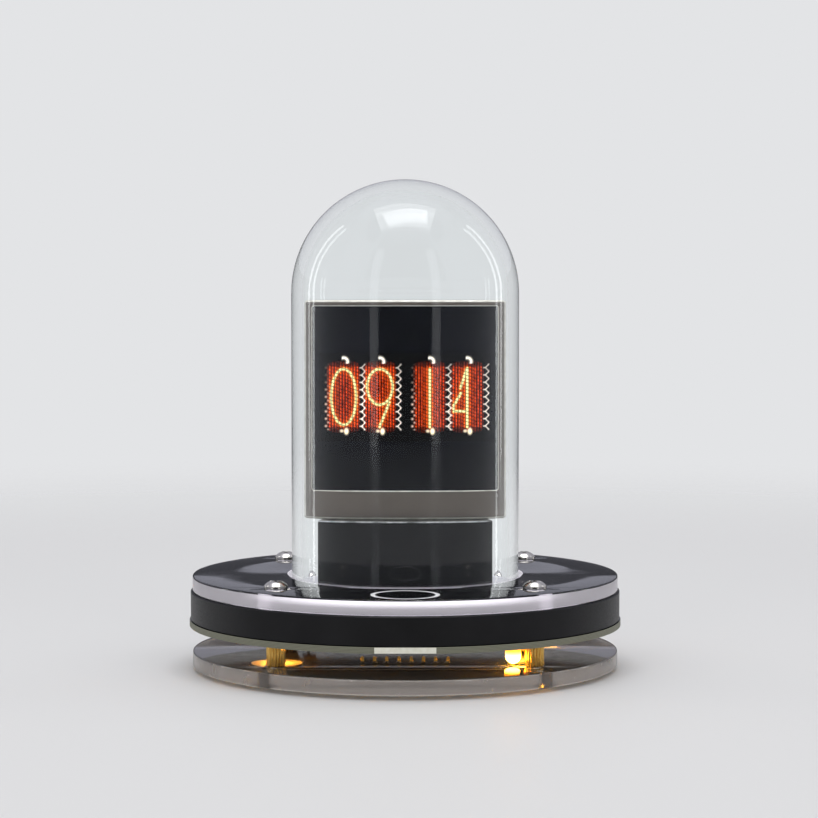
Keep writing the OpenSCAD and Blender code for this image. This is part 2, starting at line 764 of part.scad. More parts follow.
module socket_tongue() {
    tongue_l = socket_depth - socket_wall - tongue_setback;
    root_w = socket_w - 2 * socket_wall - 2 * tongue_root_room[0];
    root_h = socket_h - 2 * socket_wall - 2 * tongue_root_room[1];
    tongue_w = root_w - 2 * tongue_step;
    back_y = socket_mouth_y - socket_depth + socket_wall;
    mid_z = housing_z + socket_h / 2;
    color([0.08, 0.08, 0.08]) {
        slab(root_w, back_y, tongue_root_l, mid_z - root_h / 2, root_h);
        slab(tongue_w, back_y, tongue_l, mid_z - tongue_t / 2, tongue_t);
    }
}

// How far up a part that reaches far_x sideways may reach, to stay clear of the housing's wall
function wall_reach(far_x) = sqrt(pow(cavity_r, 2) - pow(far_x, 2)) - wall_room;

radio_x = -wall_reach(radio_l / 2) - wall_room + radio_w / 2;
boss_side_x = screw_pitch / 2 - boss_d / 2 - wall_room;

module radio_module() {
    color([0.05, 0.07, 0.12]) block([radio_x, 0], housing_z, [radio_w, radio_l, radio_board_t]);
}

module radio_shield() {
    lid = [radio_w - 2 * shield_margin, radio_l - shield_margin - antenna_l, shield_h];
    color("silver") block([radio_x, (shield_margin - antenna_l) / 2], housing_z + radio_board_t, lid);
}

// A body with a tab on its far side and three legs on its near side
module regulator() {
    x = boss_side_x - regulator_w / 2;
    y = wall_reach(boss_side_x) - regulator_leg - regulator_l / 2;
    leg_y = y - regulator_l / 2 - regulator_leg / 2;
    tab_y = y + regulator_l / 2 + regulator_leg / 2;
    color([0.08, 0.08, 0.08]) {
        block([x, y], housing_z, [regulator_w, regulator_l, regulator_h]);
        block([x, tab_y], housing_z, [regulator_w / 2, regulator_leg, leg_w]);
        for (k = [-1 : 1])
            block([x + k * regulator_pitch, leg_y], housing_z, [leg_w, regulator_leg, leg_w]);
    }
}

module clock_chip() {
    place = [6.4, 1.7] * part_grid;
    leg_y = chip_l / 2 + chip_leg / 2;
    color([0.08, 0.08, 0.08]) {
        block(place, housing_z, [chip_w, chip_l, chip_h]);
        for (side = [-1, 1], k = [-1.5 : 1.5]) translate([k * chip_pitch, side * leg_y, 0])
            block(place, housing_z, [leg_w, chip_leg, leg_w]);
    }
}

module clock_crystal() {
    place = [5.3, -2] * part_grid;
    color("silver") translate([place[0], place[1], housing_z + crystal_d / 2]) rotate([0, 90, 0])
        cylinder(d = crystal_d, h = crystal_l);
}

module board_capacitors() {
    bulk_y = wall_reach(boss_side_x) - bulk_w / 2;
    color([0.55, 0.42, 0.25]) {
        block([bulk_l / 2 - boss_side_x, bulk_y], housing_z, [bulk_l, bulk_w, bulk_h]);
        for (p = [[2, 5], [3, 5], [8, -1], [8, 3.4], [-3, 5], [4, 4]])
            block(p * part_grid, housing_z, [capacitor_l, capacitor_w, capacitor_h]);
    }
}

module board_resistors() {
    color([0.1, 0.1, 0.12])
        for (p = [[-2, 4], [-1, 4], [0, 4], [1, 4], [4, -4], [4, -5], [-2, -5], [2, -5]])
            block(p * part_grid, housing_z, [resistor_l, resistor_w, resistor_h]);
}

foot_screws();
base_plate();
base_spacers();
main_board();
base_housing();
top_plate();
top_screws();
glass_dome();
display_stand();
stand_screws();
display_board();
display_board_parts();
header_strip();
header_pins();
panel_bezel();
panel_glass();
panel_backlight();
panel_flex();
flex_socket();
panel_tape();
lit_digits();
touch_spring();
amber_lamps();
socket_shell();
socket_tongue();
radio_module();
radio_shield();
regulator();
clock_chip();
clock_crystal();
board_capacitors();
board_resistors();
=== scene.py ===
import math

import bmesh
import bpy
import numpy as np
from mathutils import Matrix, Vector
from mathutils.geometry import tessellate_polygon


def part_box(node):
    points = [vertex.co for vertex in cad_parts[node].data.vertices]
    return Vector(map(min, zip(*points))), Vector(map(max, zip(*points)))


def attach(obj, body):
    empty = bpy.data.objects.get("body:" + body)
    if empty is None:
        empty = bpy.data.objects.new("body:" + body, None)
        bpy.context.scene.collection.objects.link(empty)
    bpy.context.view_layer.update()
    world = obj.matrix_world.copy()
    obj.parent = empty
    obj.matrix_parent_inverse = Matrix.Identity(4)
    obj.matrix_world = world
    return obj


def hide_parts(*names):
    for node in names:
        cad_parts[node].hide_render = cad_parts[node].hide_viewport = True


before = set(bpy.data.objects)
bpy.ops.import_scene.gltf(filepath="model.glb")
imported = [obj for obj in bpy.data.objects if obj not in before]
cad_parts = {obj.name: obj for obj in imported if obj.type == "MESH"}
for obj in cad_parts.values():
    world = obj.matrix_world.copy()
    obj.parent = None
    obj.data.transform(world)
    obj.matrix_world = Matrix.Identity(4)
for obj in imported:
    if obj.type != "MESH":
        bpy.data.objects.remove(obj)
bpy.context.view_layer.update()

mm = 0.001
fullTurn = 2 * math.pi


def inMetres(**sizes):  # sizes are given in millimetres and used in metres
    return {key: value * mm if np.isscalar(value) else tuple(part * mm for part in value)
            for key, value in sizes.items()}


def nodeBox(node):
    low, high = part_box(node)
    return np.array(low), np.array(high)


# Places that several pieces share, all read from the frame

plateLow, plateHigh = nodeBox("top_plate")
baseLow, baseHigh = nodeBox("base_plate")
boardLow, boardHigh = nodeBox("main_board")
spacerLow, spacerHigh = nodeBox("base_spacers")
standLow, standHigh = nodeBox("display_stand")
glassFront = nodeBox("panel_glass")[0][1]
touchMiddle = (0, -27.8 * mm)  # of the engraved ring and of the spring under it

# Colour and shader helpers


def linear(hexColour):  # sRGB hex to a shader's linear colour
    parts = np.array([int(hexColour[i:i + 2], 16) for i in (0, 2, 4)]) / 255
    high = ((parts + 0.055) / 1.055) ** 2.4
    return (*np.where(parts <= 0.04045, parts / 12.92, high).tolist(), 1.0)


def addNode(tree, kind, settings=None):  # values are set and sockets are linked; returns the outputs
    node = tree.nodes.new("ShaderNode" + kind)
    for key, value in (settings or {}).items():
        if isinstance(value, bpy.types.NodeSocket):
            tree.links.new(value, node.inputs[key])
        elif isinstance(key, int) or key in node.inputs:
            node.inputs[key].default_value = value
        else:
            setattr(node, key, value)
    return node.outputs


def newMaterial(name):
    material = bpy.data.materials.new(name)
    material.use_nodes = True
    material.node_tree.nodes.clear()
    return material, material.node_tree


def endMaterial(tree, shader):
    addNode(tree, "OutputMaterial", {"Surface": shader})


def principled(tree, look):
    return addNode(tree, "BsdfPrincipled", look)[0]


def mixShaders(tree, share, first, second):
    return addNode(tree, "MixShader", {0: share, 1: first, 2: second})[0]


def mathNode(tree, operation, first, second):
    return addNode(tree, "Math", {"operation": operation, 0: first, 1: second})[0]


def vectorNode(tree, operation, vector, constant=(0, 0, 0)):
    return addNode(tree, "VectorMath", {"operation": operation, 0: vector, 1: constant})


def alongAxis(tree, vector, axis):
    return addNode(tree, "SeparateXYZ", {0: vector})[axis]


def objectPoint(tree, scale=(1, 1, 1)):  # the place on the piece, stretched for a directed pattern
    return addNode(tree, "Mapping", {"Vector": addNode(tree, "TexCoord")["Object"], "Scale": scale})[0]


def noiseAt(tree, size, scale=(1, 1, 1), detail=3.0):  # noise whose features are about size mm across
    place = objectPoint(tree, scale)
    return addNode(tree, "TexNoise", {"Vector": place, "Scale": 1 / (size * mm), "Detail": detail})["Fac"]


def mapRange(tree, value, start, end, low, high, kind="LINEAR"):
    return addNode(tree, "MapRange", {"Value": value, "From Min": start, "From Max": end, "To Min": low,
                                      "To Max": high, "interpolation_type": kind})[0]


def spread(tree, pattern, low, high, start=0.3, end=0.7):  # a 0 to 1 pattern turned into a range of values
    return mapRange(tree, pattern, start, end, low, high)


def softStep(tree, value, start, end, low, high):  # runs smoothly from low to high between two places
    return mapRange(tree, value, start, end, low, high, "SMOOTHSTEP")


def blendColours(tree, share, first, second):
    return addNode(tree, "Mix", {"data_type": "RGBA", 0: share, 6: linear(first), 7: linear(second)})[2]


def bumpFrom(tree, height, relief, strength):  # relief in mm
    return addNode(tree, "Bump", {"Height": height, "Distance": relief * mm, "Strength": strength})[0]


def solidFinish(name, colours, grain, roughness, patch=4, stretch=(1, 1, 1), relief=0.01, strength=0.4,
                metallic=0.0, extra=None):
    # Opaque, sizes in mm: two close colours in patches, and a grain that the roughness follows
    material, tree = newMaterial(name)
    grainNoise = noiseAt(tree, grain, stretch)
    look = {"Base Color": blendColours(tree, spread(tree, noiseAt(tree, patch), 0, 1), *colours),
            "Roughness": spread(tree, grainNoise, *roughness), "Metallic": metallic, **(extra or {})}
    if relief:
        look["Normal"] = bumpFrom(tree, grainNoise, relief, strength)
    endMaterial(tree, principled(tree, look))
    return material


def clearFinish(name, colour, roughness, shade, clear=1.0, smear=3, ior=1.49, cut=None, paintedPools=None,
                paintedGlow=None, extra=None):
    # Clear, smears and cuts in mm: its shadow is only a pale shade, so lamps reach what is behind it
    material, tree = newMaterial(name)
    look = {"Base Color": linear(colour), "IOR": ior, "Transmission Weight": clear,
            "Roughness": spread(tree, noiseAt(tree, smear), *roughness, 0.45, 0.75), **(extra or {})}
    if cut:  # the ripple that a laser or a router leaves
        ripple = noiseAt(tree, cut["lines"], cut["stretch"], 2.0)
        look["Normal"] = bumpFrom(tree, ripple, cut["relief"], 0.6)
    if paintedPools:  # painted pools of light: round these places the sheet turns milky, so the lamps light it there
        gaps = [vectorNode(tree, "DISTANCE", objectPoint(tree), place)["Value"] for place in paintedPools["places"]]
        gap, radius = mathNode(tree, "MINIMUM", *gaps), paintedPools["radius"]
        look["Transmission Weight"] = softStep(tree, gap, 0.94 * radius, radius, paintedPools["clear"], clear)
    if paintedGlow:  # painted glow: the edge gives off light high up and towards the front
        front = softStep(tree, alongAxis(tree, objectPoint(tree), "Y"), *paintedGlow["front"], paintedGlow["strength"], 0)
        share = softStep(tree, alongAxis(tree, objectPoint(tree), "Z"), *paintedGlow["heights"], 0, 1)
        look["Emission Strength"] = mathNode(tree, "MULTIPLY", front, share)
    shadow = addNode(tree, "LightPath")["Is Shadow Ray"]
    passing = addNode(tree, "BsdfTransparent", {"Color": linear(shade)})[0]
    endMaterial(tree, mixShaders(tree, shadow, principled(tree, look), passing))
    return material


# Mesh helpers: every shape is grids and the flat fills between their end rings

def gridFaces(rows, columns, closed):  # four corners for each cell, also over a closed grid's seam
    across = columns if closed else columns - 1
    row, column = np.meshgrid(np.arange(rows - 1), np.arange(across), indexing="ij")
    nextColumn = (column + 1) % columns
    corners = [row * columns + column, row * columns + nextColumn,
               (row + 1) * columns + nextColumn, (row + 1) * columns + column]
    return np.stack(corners, -1).reshape(-1, 4)


class Shape:  # points and faces, each face with its material number and shading
    def __init__(self):
        self.points, self.faces, self.slots, self.smooth = [], [], [], []
        self.count = 0

    def add(self, points, faces, slot=0, smooth=True):
        self.points.append(np.asarray(points, float).reshape(-1, 3))
        self.faces += (np.asarray(faces) + self.count).tolist()
        self.slots += [slot] * len(faces)
        self.smooth += [smooth] * len(faces)
        self.count += len(self.points[-1])
        return self

    def grid(self, points, closed=True, slot=0):
        return self.add(points, gridFaces(points.shape[0], points.shape[1], closed), slot)

    def fill(self, loops, upward, slot=0):  # the flat face between rings, the first ring outermost
        corners = np.vstack(loops)
        triangles = np.array(tessellate_polygon([[Vector(p) for p in loop] for loop in loops]))
        a, b, c = (corners[triangles[:, k]] for k in range(3))
        wrong = (np.cross(b - a, c - a)[:, 2] > 0) != upward
        triangles[wrong] = triangles[wrong][:, ::-1]
        return self.add(corners, triangles, slot, False)

    def capped(self, rings, slot=0, down=False):  # a closed grid and its two flat ends
        return self.grid(rings, slot=slot).fill([rings[0]], down, slot).fill([rings[-1]], not down, slot)


def addObject(name, data):
    made = bpy.data.objects.new(name, data)
    bpy.context.scene.collection.objects.link(made)
    return made


def makePiece(name, shape, materials, node=None, body="base", sharp=32, place=None):
    points = np.vstack(shape.points)
    mesh = bpy.data.meshes.new(name)
    mesh.from_pydata((place(points) if place else points).tolist(), [], shape.faces)
    for material in materials:
        mesh.materials.append(material)
    mesh.polygons.foreach_set("material_index", shape.slots)
    mesh.polygons.foreach_set("use_smooth", shape.smooth)
    weld(mesh)
    mesh.set_sharp_from_angle(angle=math.radians(sharp))
    piece = addObject(name, mesh)
    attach(piece, body)
    if node:
        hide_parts(node)
    return piece


def weld(mesh):  # joins the grids where their rings meet
    samePlace = 0.0002 * mm
    work = bmesh.new()
    work.from_mesh(mesh)
    bmesh.ops.remove_doubles(work, verts=work.verts, dist=samePlace)
    work.to_mesh(mesh)
    work.free()


def around(steps):  # angles that share a full turn evenly
    return np.arange(steps) * fullTurn / steps


def ringsAt(radius, angle, height, middle=(0, 0)):  # a grid of points from their radius, angle and height
    return np.stack([middle[0] + radius * np.cos(angle), middle[1] + radius * np.sin(angle),
                     height + 0 * radius * angle], -1)


def circleRim(middle, radius, steps=256, hole=False):  # a circle as a function of how far it is drawn in
    angle = around(steps) * (-1 if hole else 1)

    def rim(inset):
        r = radius + inset if hole else radius - inset
        return ringsAt(r, angle, 0, middle)[:, :2]
    return rim


def boxRim(low, high, corner, steps=8, hole=False):  # the same for a box with round corners
    leastCorner = 0.02 * mm
    angle = np.radians(np.arange(4)[:, None] * 90 + np.linspace(0, 90, steps)[None])

    def rim(inset):
        shift = -inset if hole else inset
        r = max(corner - shift, leastCorner)
        right, left = high[0] - shift - r, low[0] + shift + r
        top, bottom = high[1] - shift - r, low[1] + shift + r
        middleX = np.array([right, left, left, right])[:, None]
        middleY = np.array([top, top, bottom, bottom])[:, None]
        points = np.stack([middleX + r * np.cos(angle), middleY + r * np.sin(angle)], -1).reshape(-1, 2)
        return points[::-1] if hole else points
    return rim


def wallRings(rim, profile):  # one ring of the rim at each (inset, height) of the profile, lowest first
    return np.stack([np.column_stack([rim(inset), np.full(len(rim(inset)), height)])
                     for inset, height in profile])


def roundEdge(edge, steps=4):  # a quarter circle as (inset, distance below the face), from wall to face
    share = np.linspace(0, math.pi / 2, steps + 1)
    return list(zip(edge * (1 - np.cos(share)), edge * (1 - np.sin(share))))


def sheetProfile(low, high, edge):  # a cut edge with its corners just broken
    corner = roundEdge(edge)
    foot = [(inset, low + drop) for inset, drop in corner[::-1]]
    return foot + [(inset, high - drop) for inset, drop in corner]


def addSheet(shape, rims, profile, faceSlot=0, wallSlot=0, holeSlot=None, extraTop=(), polished=False):
    # A flat sheet with holes. Where polished, the outline's corners take the faces' finish
    outline, *holes = [wallRings(rim, profile) for rim in rims]
    middle = len(profile) // 2
    if polished:
        shape.grid(outline[:middle], slot=faceSlot).grid(outline[middle:], slot=faceSlot)
        shape.grid(outline[middle - 1:middle + 1], slot=wallSlot)
    else:
        shape.grid(outline, slot=wallSlot)
    for hole in holes:
        shape.grid(hole, slot=wallSlot if holeSlot is None else holeSlot)
    walls = [outline] + holes
    shape.fill([wall[0] for wall in walls], False, faceSlot)
    shape.fill([wall[-1] for wall in walls] + list(extraTop), True, faceSlot)
    return shape


def turned(profile, steps, middle=(0, 0)):  # a profile of (radius, height) carried round an upright axis
    radius, height = np.array(profile).T[:, :, None]
    return ringsAt(radius, around(steps), height, middle)


def arc(centre, radius, start, end, steps):  # points of an arc, angles in degrees
    angle = np.radians(np.linspace(start, end, steps))
    return [(centre[0] + radius * math.cos(a), centre[1] + radius * math.sin(a)) for a in angle]


def useMaterial(material, *nodes):  # a CAD piece keeps its shape and gets a real finish
    for node in nodes:
        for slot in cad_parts[node].material_slots:
            slot.material = material


# The four screws, what they pass through, and the lamps beside them

fastening = inMetres(shank=0.95, hole=1.1, thread=0.4, spacer=1.5, bore=0.98, lampOffset=3.3)
toScrew = (spacerHigh[0] - spacerLow[0]) / 2 - fastening["spacer"]
toLamp = toScrew - fastening["lampOffset"]
screwPlaces = [(x * toScrew, y * toScrew) for x in (-1, 1) for y in (-1, 1)]
screwHoles = [circleRim(place, fastening["hole"], 40, hole=True) for place in screwPlaces]
frontLeftLamp = (-toScrew, -toLamp)
backRightLamp = (toScrew, toLamp)

# Finishes

print("finishes")
domeLook = {"ior": 1.47, "smear": 14, "roughness": (0.0, 0.02)}
domeGlass = clearFinish(  # blown glass: clear, hard highlights, a little haze from handling
    "BorosilicateDomeGlass", "f8fbfb", shade="f0f4f5", extra={"Specular Tint": linear("c8cacc")}, **domeLook)
domeInside = clearFinish(  # the same glass where it meets still air: its second image is faint
    "DomeInnerWall", "fbfcfc", shade="f6f8f8", extra={"Specular Tint": linear("66686c")}, **domeLook)
acrylicFace = clearFinish(  # polished sheet: clear with a cool cast and faint wiping marks
    "CastAcrylicFace", "f1f1f6", smear=6, roughness=(0.03, 0.08), shade="e4e4ea")
cutLook = {"roughness": (0.32, 0.5), "shade": "d5d2da"}
acrylicEdgeWithPaintedGlow = clearFinish(  # the cut leaves fine upright lines on a milky edge, which carries a painted glow
    "LaserCutAcrylicEdgePaintedGlow", "ebe6ee", clear=0.5, extra={"Emission Color": linear("f2eef6")},
    cut={"lines": 0.5, "stretch": (1, 1, 0.08), "relief": 0.03},
    paintedGlow={"strength": 0.8, "front": (-34 * mm, -22 * mm),
          "heights": (plateLow[2] + 1.0 * mm, plateHigh[2] - 0.4 * mm)}, **cutLook)
acrylicHoleWithPaintedGlow = clearFinish(  # the same cut round the dome, with a painted glow all over it
    "AcrylicHoleEdgePaintedGlow", "f4eef4", clear=0.3, **cutLook,
    extra={"Emission Color": linear("e8e4ee"), "Emission Strength": 0.4})
acrylicEngraving = clearFinish(  # the burnt line is rough and scatters white
    "EngravedAcrylic", "fbfbfd", clear=0.35, smear=1, roughness=(0.5, 0.7), shade="b8b8bc",
    cut={"lines": 0.25, "stretch": (1, 1, 1), "relief": 0.03})
lowerFaceWithPaintedPools = clearFinish(  # the lower sheet: a trace of dust and handling, and painted pools of lamp light round two lamps
    "DustyAcrylicFacePaintedPools", "f0e9e0", clear=0.96, roughness=(0.02, 0.09), shade="dcd9d6",
    paintedPools={"places": [(*place, baseHigh[2]) for place in (frontLeftLamp, backRightLamp)],
           "radius": 4.2 * mm, "clear": 0.35})
lowerEdgePaintedShade = clearFinish(  # the lower sheet's edge is cut finer and stays half clear; its grey is painted shade
    "AcrylicEdgePaintedShade", "9c948e", clear=0.82, roughness=(0.2, 0.32), shade="c8c2be",
    cut={"lines": 0.6, "stretch": (1, 1, 0.05), "relief": 0.006})
housingBlack = solidFinish(  # moulded ABS with a fine spark grain, satin
    "MouldedBlackHousing", ("0b0b0d", "121214"), 0.22, (0.34, 0.5), patch=5, relief=0.02, strength=0.3,
    extra={"Specular IOR Level": 0.2})
standBlack = solidFinish(  # polished ABS: near black, mirrors the lamps
    "PolishedBlackStand", ("08080b", "0c0c10"), 3, (0.08, 0.16), relief=0,
    extra={"Specular IOR Level": 0.16})
standEdgePaintedHighlight = solidFinish(  # a painted highlight: the top edge is pale in short runs where the display sits
    "StandEdgePaintedHighlight", ("0c0c0f", "e4e4e8"), 0.3, (0.25, 0.4), patch=1.1, relief=0)
bezelSteel = solidFinish(  # thin stamped steel, grey-brown, drawn sideways by the rollers
    "CoatedSteelBezel", ("625a54", "6a625c"), 0.12, (0.3, 0.36), stretch=(0.06, 1, 1), patch=9,
    metallic=0.8, relief=0.001)
bezelEdgePaintedHighlight = solidFinish(  # a painted highlight: the rounded edges are near white, a fine bright line
    "BezelEdgePaintedHighlight", ("f2eee6", "cdc7bd"), 0.2, (0.3, 0.45), patch=1.2, metallic=0.3, relief=0)
displayBlack = solidFinish(  # black glass under a film: deep blue-black with a soft sheen
    "DisplayPolarizer", ("06070c", "090a11"), 6, (0.1, 0.16), relief=0, extra={"Specular IOR Level": 0.05})
spacerBrass = solidFinish(  # turned brass, bright where the tool ran, warm in the grooves
    "KnurledBrass", ("d9b060", "c79a4a"), 0.3, (0.2, 0.34), stretch=(1, 1, 0.1), patch=1.5, metallic=1.0,
    relief=0.006)
screwNickel = solidFinish(  # bright plated screws with a slightly warm cast
    "NickelPlatedSteel", ("dedbd4", "d2cec6"), 0.4, (0.14, 0.26), patch=1, metallic=1.0, relief=0.006)
tinnedSteel = solidFinish(  # dull silver sheet of sockets and lids
    "TinnedSheetSteel", ("c6c7c8", "b5b6b8"), 0.3, (0.25, 0.4), stretch=(0.1, 1, 1), patch=2, metallic=1.0)
goldPinsWithPaintedGlow = solidFinish(  # thin gold on brass pins, with a painted amber glow for the lamps' light between the boards
    "GoldFlashedPinsPaintedGlow", ("e2bd68", "d5ab52"), 0.2, (0.2, 0.3), metallic=1.0,
    extra={"Emission Color": linear("ffb648"), "Emission Strength": 0.3})
solderTin = solidFinish(  # frozen solder, bright with soft dimples
    "SolderJoints", ("cfd0cf", "bcbdbc"), 0.4, (0.18, 0.35), metallic=1.0)
chipBlack = solidFinish(  # chip resin: dark grey, fine matt grain
    "MouldedEpoxyChips", ("1c1c1e", "252527"), 0.1, (0.5, 0.65), patch=1)
capacitorCeramic = solidFinish(  # fired ceramic in tan
    "CapacitorCeramic", ("a5835a", "94734d"), 0.1, (0.35, 0.5), patch=1)
flexAmber = solidFinish(  # amber film with a silky shine
    "PolyimideFilm", ("7d4b16", "8f5a1e"), 0.5, (0.25, 0.4))
socketCream = solidFinish(  # uncoloured nylon, waxy
    "MouldedNylonSocket", ("d8cfba", "cfc5ae"), 0.3, (0.4, 0.5))
foamBlack = solidFinish(  # black foam tape with fine pores
    "ClosedCellFoam", ("202022", "2a2a2c"), 0.15, (0.8, 0.95), relief=0.05)
lightGuide = solidFinish(  # opal plastic
    "LightGuideSheet", ("e6e8ea", "dcdfe2"), 0.5, (0.3, 0.45))
boardTab = solidFinish(  # the snapped tab's bare glass cloth, whiter than the routed edge
    "SnappedGlassFibre", ("efeee2", "dfdecd"), 0.15, (0.5, 0.7), stretch=(0.3, 1, 1), patch=1, relief=0.05)


def solderMask():  # black lacquer over copper: thin raised tracks show a little lighter
    trackPitch = 1.6 * mm
    material, tree = newMaterial("SolderMaskOnCopper")
    tracks = addNode(tree, "TexBrick", {
        "Vector": objectPoint(tree), "Scale": 1 / trackPitch, "Mortar Size": 0.09, "Brick Width": 3.0,
        "Row Height": 1.0, "Color1": (0, 0, 0, 1), "Color2": (0, 0, 0, 1), "Mortar": (1, 1, 1, 1)})["Color"]
    endMaterial(tree, principled(tree, {
        "Base Color": blendColours(tree, tracks, "0b100d", "16221b"), "Coat Weight": 0.25,
        "Roughness": spread(tree, noiseAt(tree, 2), 0.16, 0.26), "Coat Roughness": 0.15,
        "Normal": bumpFrom(tree, tracks, 0.02, 0.3)}))
    return material


def laminateEdgeWithPaintedShade():  # the routed edge shows glass cloth in layers; its colours are darkened as painted shade
    layer, bandAtScaleOne = 0.2 * mm, 0.31
    material, tree = newMaterial("RoutedGlassFibreEdgePaintedShade")
    layers = addNode(tree, "TexWave", {
        "Vector": objectPoint(tree), "bands_direction": "Z", "Scale": bandAtScaleOne / layer,
        "Distortion": 1.2, "Detail": 2.0})["Fac"]
    endMaterial(tree, principled(tree, {
        "Base Color": blendColours(tree, layers, "5f6051", "80806e"),
        "Roughness": spread(tree, noiseAt(tree, 0.3), 0.5, 0.7),
        "Normal": bumpFrom(tree, layers, 0.02, 0.4)}))
    return material


def amberFinish(name, strength):  # amber resin: hottest at its tip, where the chip shines out
    material, tree = newMaterial(name)
    tip = nodeBox("amber_lamps")[0][2]
    height = alongAxis(tree, objectPoint(tree), "Z")
    share = softStep(tree, height, tip + 0.8 * mm, tip + 2.6 * mm, 0, 1)
    colour = blendColours(tree, share, "ffb93c", "ff9c1c")
    endMaterial(tree, principled(tree, {
        "Base Color": colour, "Emission Color": colour,
        "Emission Strength": softStep(tree, height, tip + 0.6 * mm, tip + 2.2 * mm, *strength),
        "Roughness": spread(tree, noiseAt(tree, 0.8), 0.25, 0.4)}))
    return material


def pictureFinish():  # the display's picture: each point of the mesh holds its own light
    material, tree = newMaterial("LitDisplayPicture")
    light = addNode(tree, "Attribute", {"attribute_name": "picture"})["Color"]
    endMaterial(tree, principled(tree, {
        "Base Color": light, "Emission Color": light, "Emission Strength": 0.85, "Roughness": 0.16,
        "Specular IOR Level": 0.07}))
    return material


maskBlack = solderMask()
boardEdgePaintedShade = laminateEdgeWithPaintedShade()
amberResin = amberFinish("LitAmberResin", (55, 3))
restingResin = amberFinish("RestingAmberResin", (0.12, 0.03))  # no light shows at the back left of the photo
displayLight = pictureFinish()


def makeDome():
    dome = {**inMetres(wall=1.7, rimRound=0.45, pole=0.02), "around": 192, "over": 64, "lastAngle": 89.7}
    low, high = nodeBox("glass_dome")
    outer = (high[0] - low[0]) / 2
    inner = outer - dome["wall"]
    middle = high[2] - outer
    rim, over, last = dome["rimRound"], dome["over"], dome["lastAngle"]
    # A straight wall with a half ball on top, and a rounded rim between its outside and inside
    foot = arc((outer - rim, low[2] + rim), rim, 0, -90, 8)
    foot += arc((inner + rim, low[2] + rim), rim, -90, -180, 8)
    inside = arc((0, middle), inner, 0, last, over) + [(dome["pole"], high[2] - dome["wall"])]
    outside = [(dome["pole"], high[2])] + arc((0, middle), outer, last, 0, over)
    rings = turned((outside + foot + inside)[::-1], dome["around"])
    seam = len(inside)
    shape = Shape().grid(rings[:seam + 1], slot=1).grid(rings[seam:])
    shape.fill([rings[-1]], True).fill([rings[0]], False, 1)
    makePiece("glassDome", shape, [domeGlass, domeInside], "glass_dome", "dome", sharp=60)


print("dome")
makeDome()


plateRadius = (plateHigh[0] - plateLow[0]) / 2
plateCorner = 0.26 * mm  # how far both plates' cut corners are broken


def makeTopPlate():
    plate = inMetres(domeHole=18.7, ringOuter=5.3, ringLine=0.7, ringDepth=0.4)
    low, high = plateLow[2], plateHigh[2]
    rims = [circleRim((0, 0), plateRadius), circleRim((0, 0), plate["domeHole"], hole=True)] + screwHoles
    # The engraved line is a groove with a rounded floor, from its outer to its inner lip
    share = np.linspace(0, math.pi, 13)
    span = plate["ringOuter"] - plate["ringLine"] * (1 - np.cos(share)) / 2
    depth = high - plate["ringDepth"] * np.sin(share) ** 0.5
    groove = turned(list(zip(span, depth)), 128, touchMiddle)
    shape = addSheet(Shape(), rims, sheetProfile(low, high, plateCorner), 0, 1, holeSlot=3,
                     extraTop=[groove[0][::-1]], polished=True)
    shape.grid(groove[::-1], slot=2).fill([groove[-1]], True)
    makePiece("topPlate", shape, [acrylicFace, acrylicEdgeWithPaintedGlow, acrylicEngraving, acrylicHoleWithPaintedGlow],
              "top_plate")


def makeBasePlate():
    rims = [circleRim((0, 0), plateRadius)] + screwHoles
    shape = addSheet(Shape(), rims, sheetProfile(baseLow[2], baseHigh[2], plateCorner), 0, 1, polished=True)
    makePiece("basePlate", shape, [lowerFaceWithPaintedPools, lowerEdgePaintedShade], "base_plate")


print("clear plates")
makeTopPlate()
makeBasePlate()


header = {"count": 8, "pitch": 2 * mm}
pinLow, pinHigh = nodeBox("header_pins")
pinXs = (np.arange(header["count"]) - (header["count"] - 1) / 2) * header["pitch"]
pinY = (pinLow[1] + pinHigh[1]) / 2


def makeMainBoard():
    board = {**inMetres(flatWidth=9.3, pinHole=0.4, cornerBreak=0.05), "steps": 256}
    radius = boardHigh[1]
    flatHalf = math.asin(board["flatWidth"] / 2 / radius)
    start = -math.pi / 2 + flatHalf
    angle = np.linspace(start, start + fullTurn - 2 * flatHalf, board["steps"])

    def outline(inset):  # a circle with a short flat at the front
        return ringsAt(radius - inset, angle, 0)[:, :2]

    holes = screwHoles + [circleRim((x, pinY), board["pinHole"], 16, hole=True) for x in pinXs]
    profile = sheetProfile(boardLow[2], boardHigh[2], board["cornerBreak"])
    shape = addSheet(Shape(), [outline] + holes, profile, 0, 1)
    shape.slots[len(profile) // 2 * board["steps"] - 1] = 2  # the flat between the corners is the snapped tab
    makePiece("mainBoard", shape, [maskBlack, boardEdgePaintedShade, boardTab], "main_board")


print("circuit board")
makeMainBoard()


boardSlot = inMetres(halfWide=10.8, back=0.3, corner=0.2)


def slotRim(front):  # where the display's board passes through the deck and the stand
    half = boardSlot["halfWide"]
    return boxRim((-half, front), (half, boardSlot["back"]), boardSlot["corner"], hole=True)


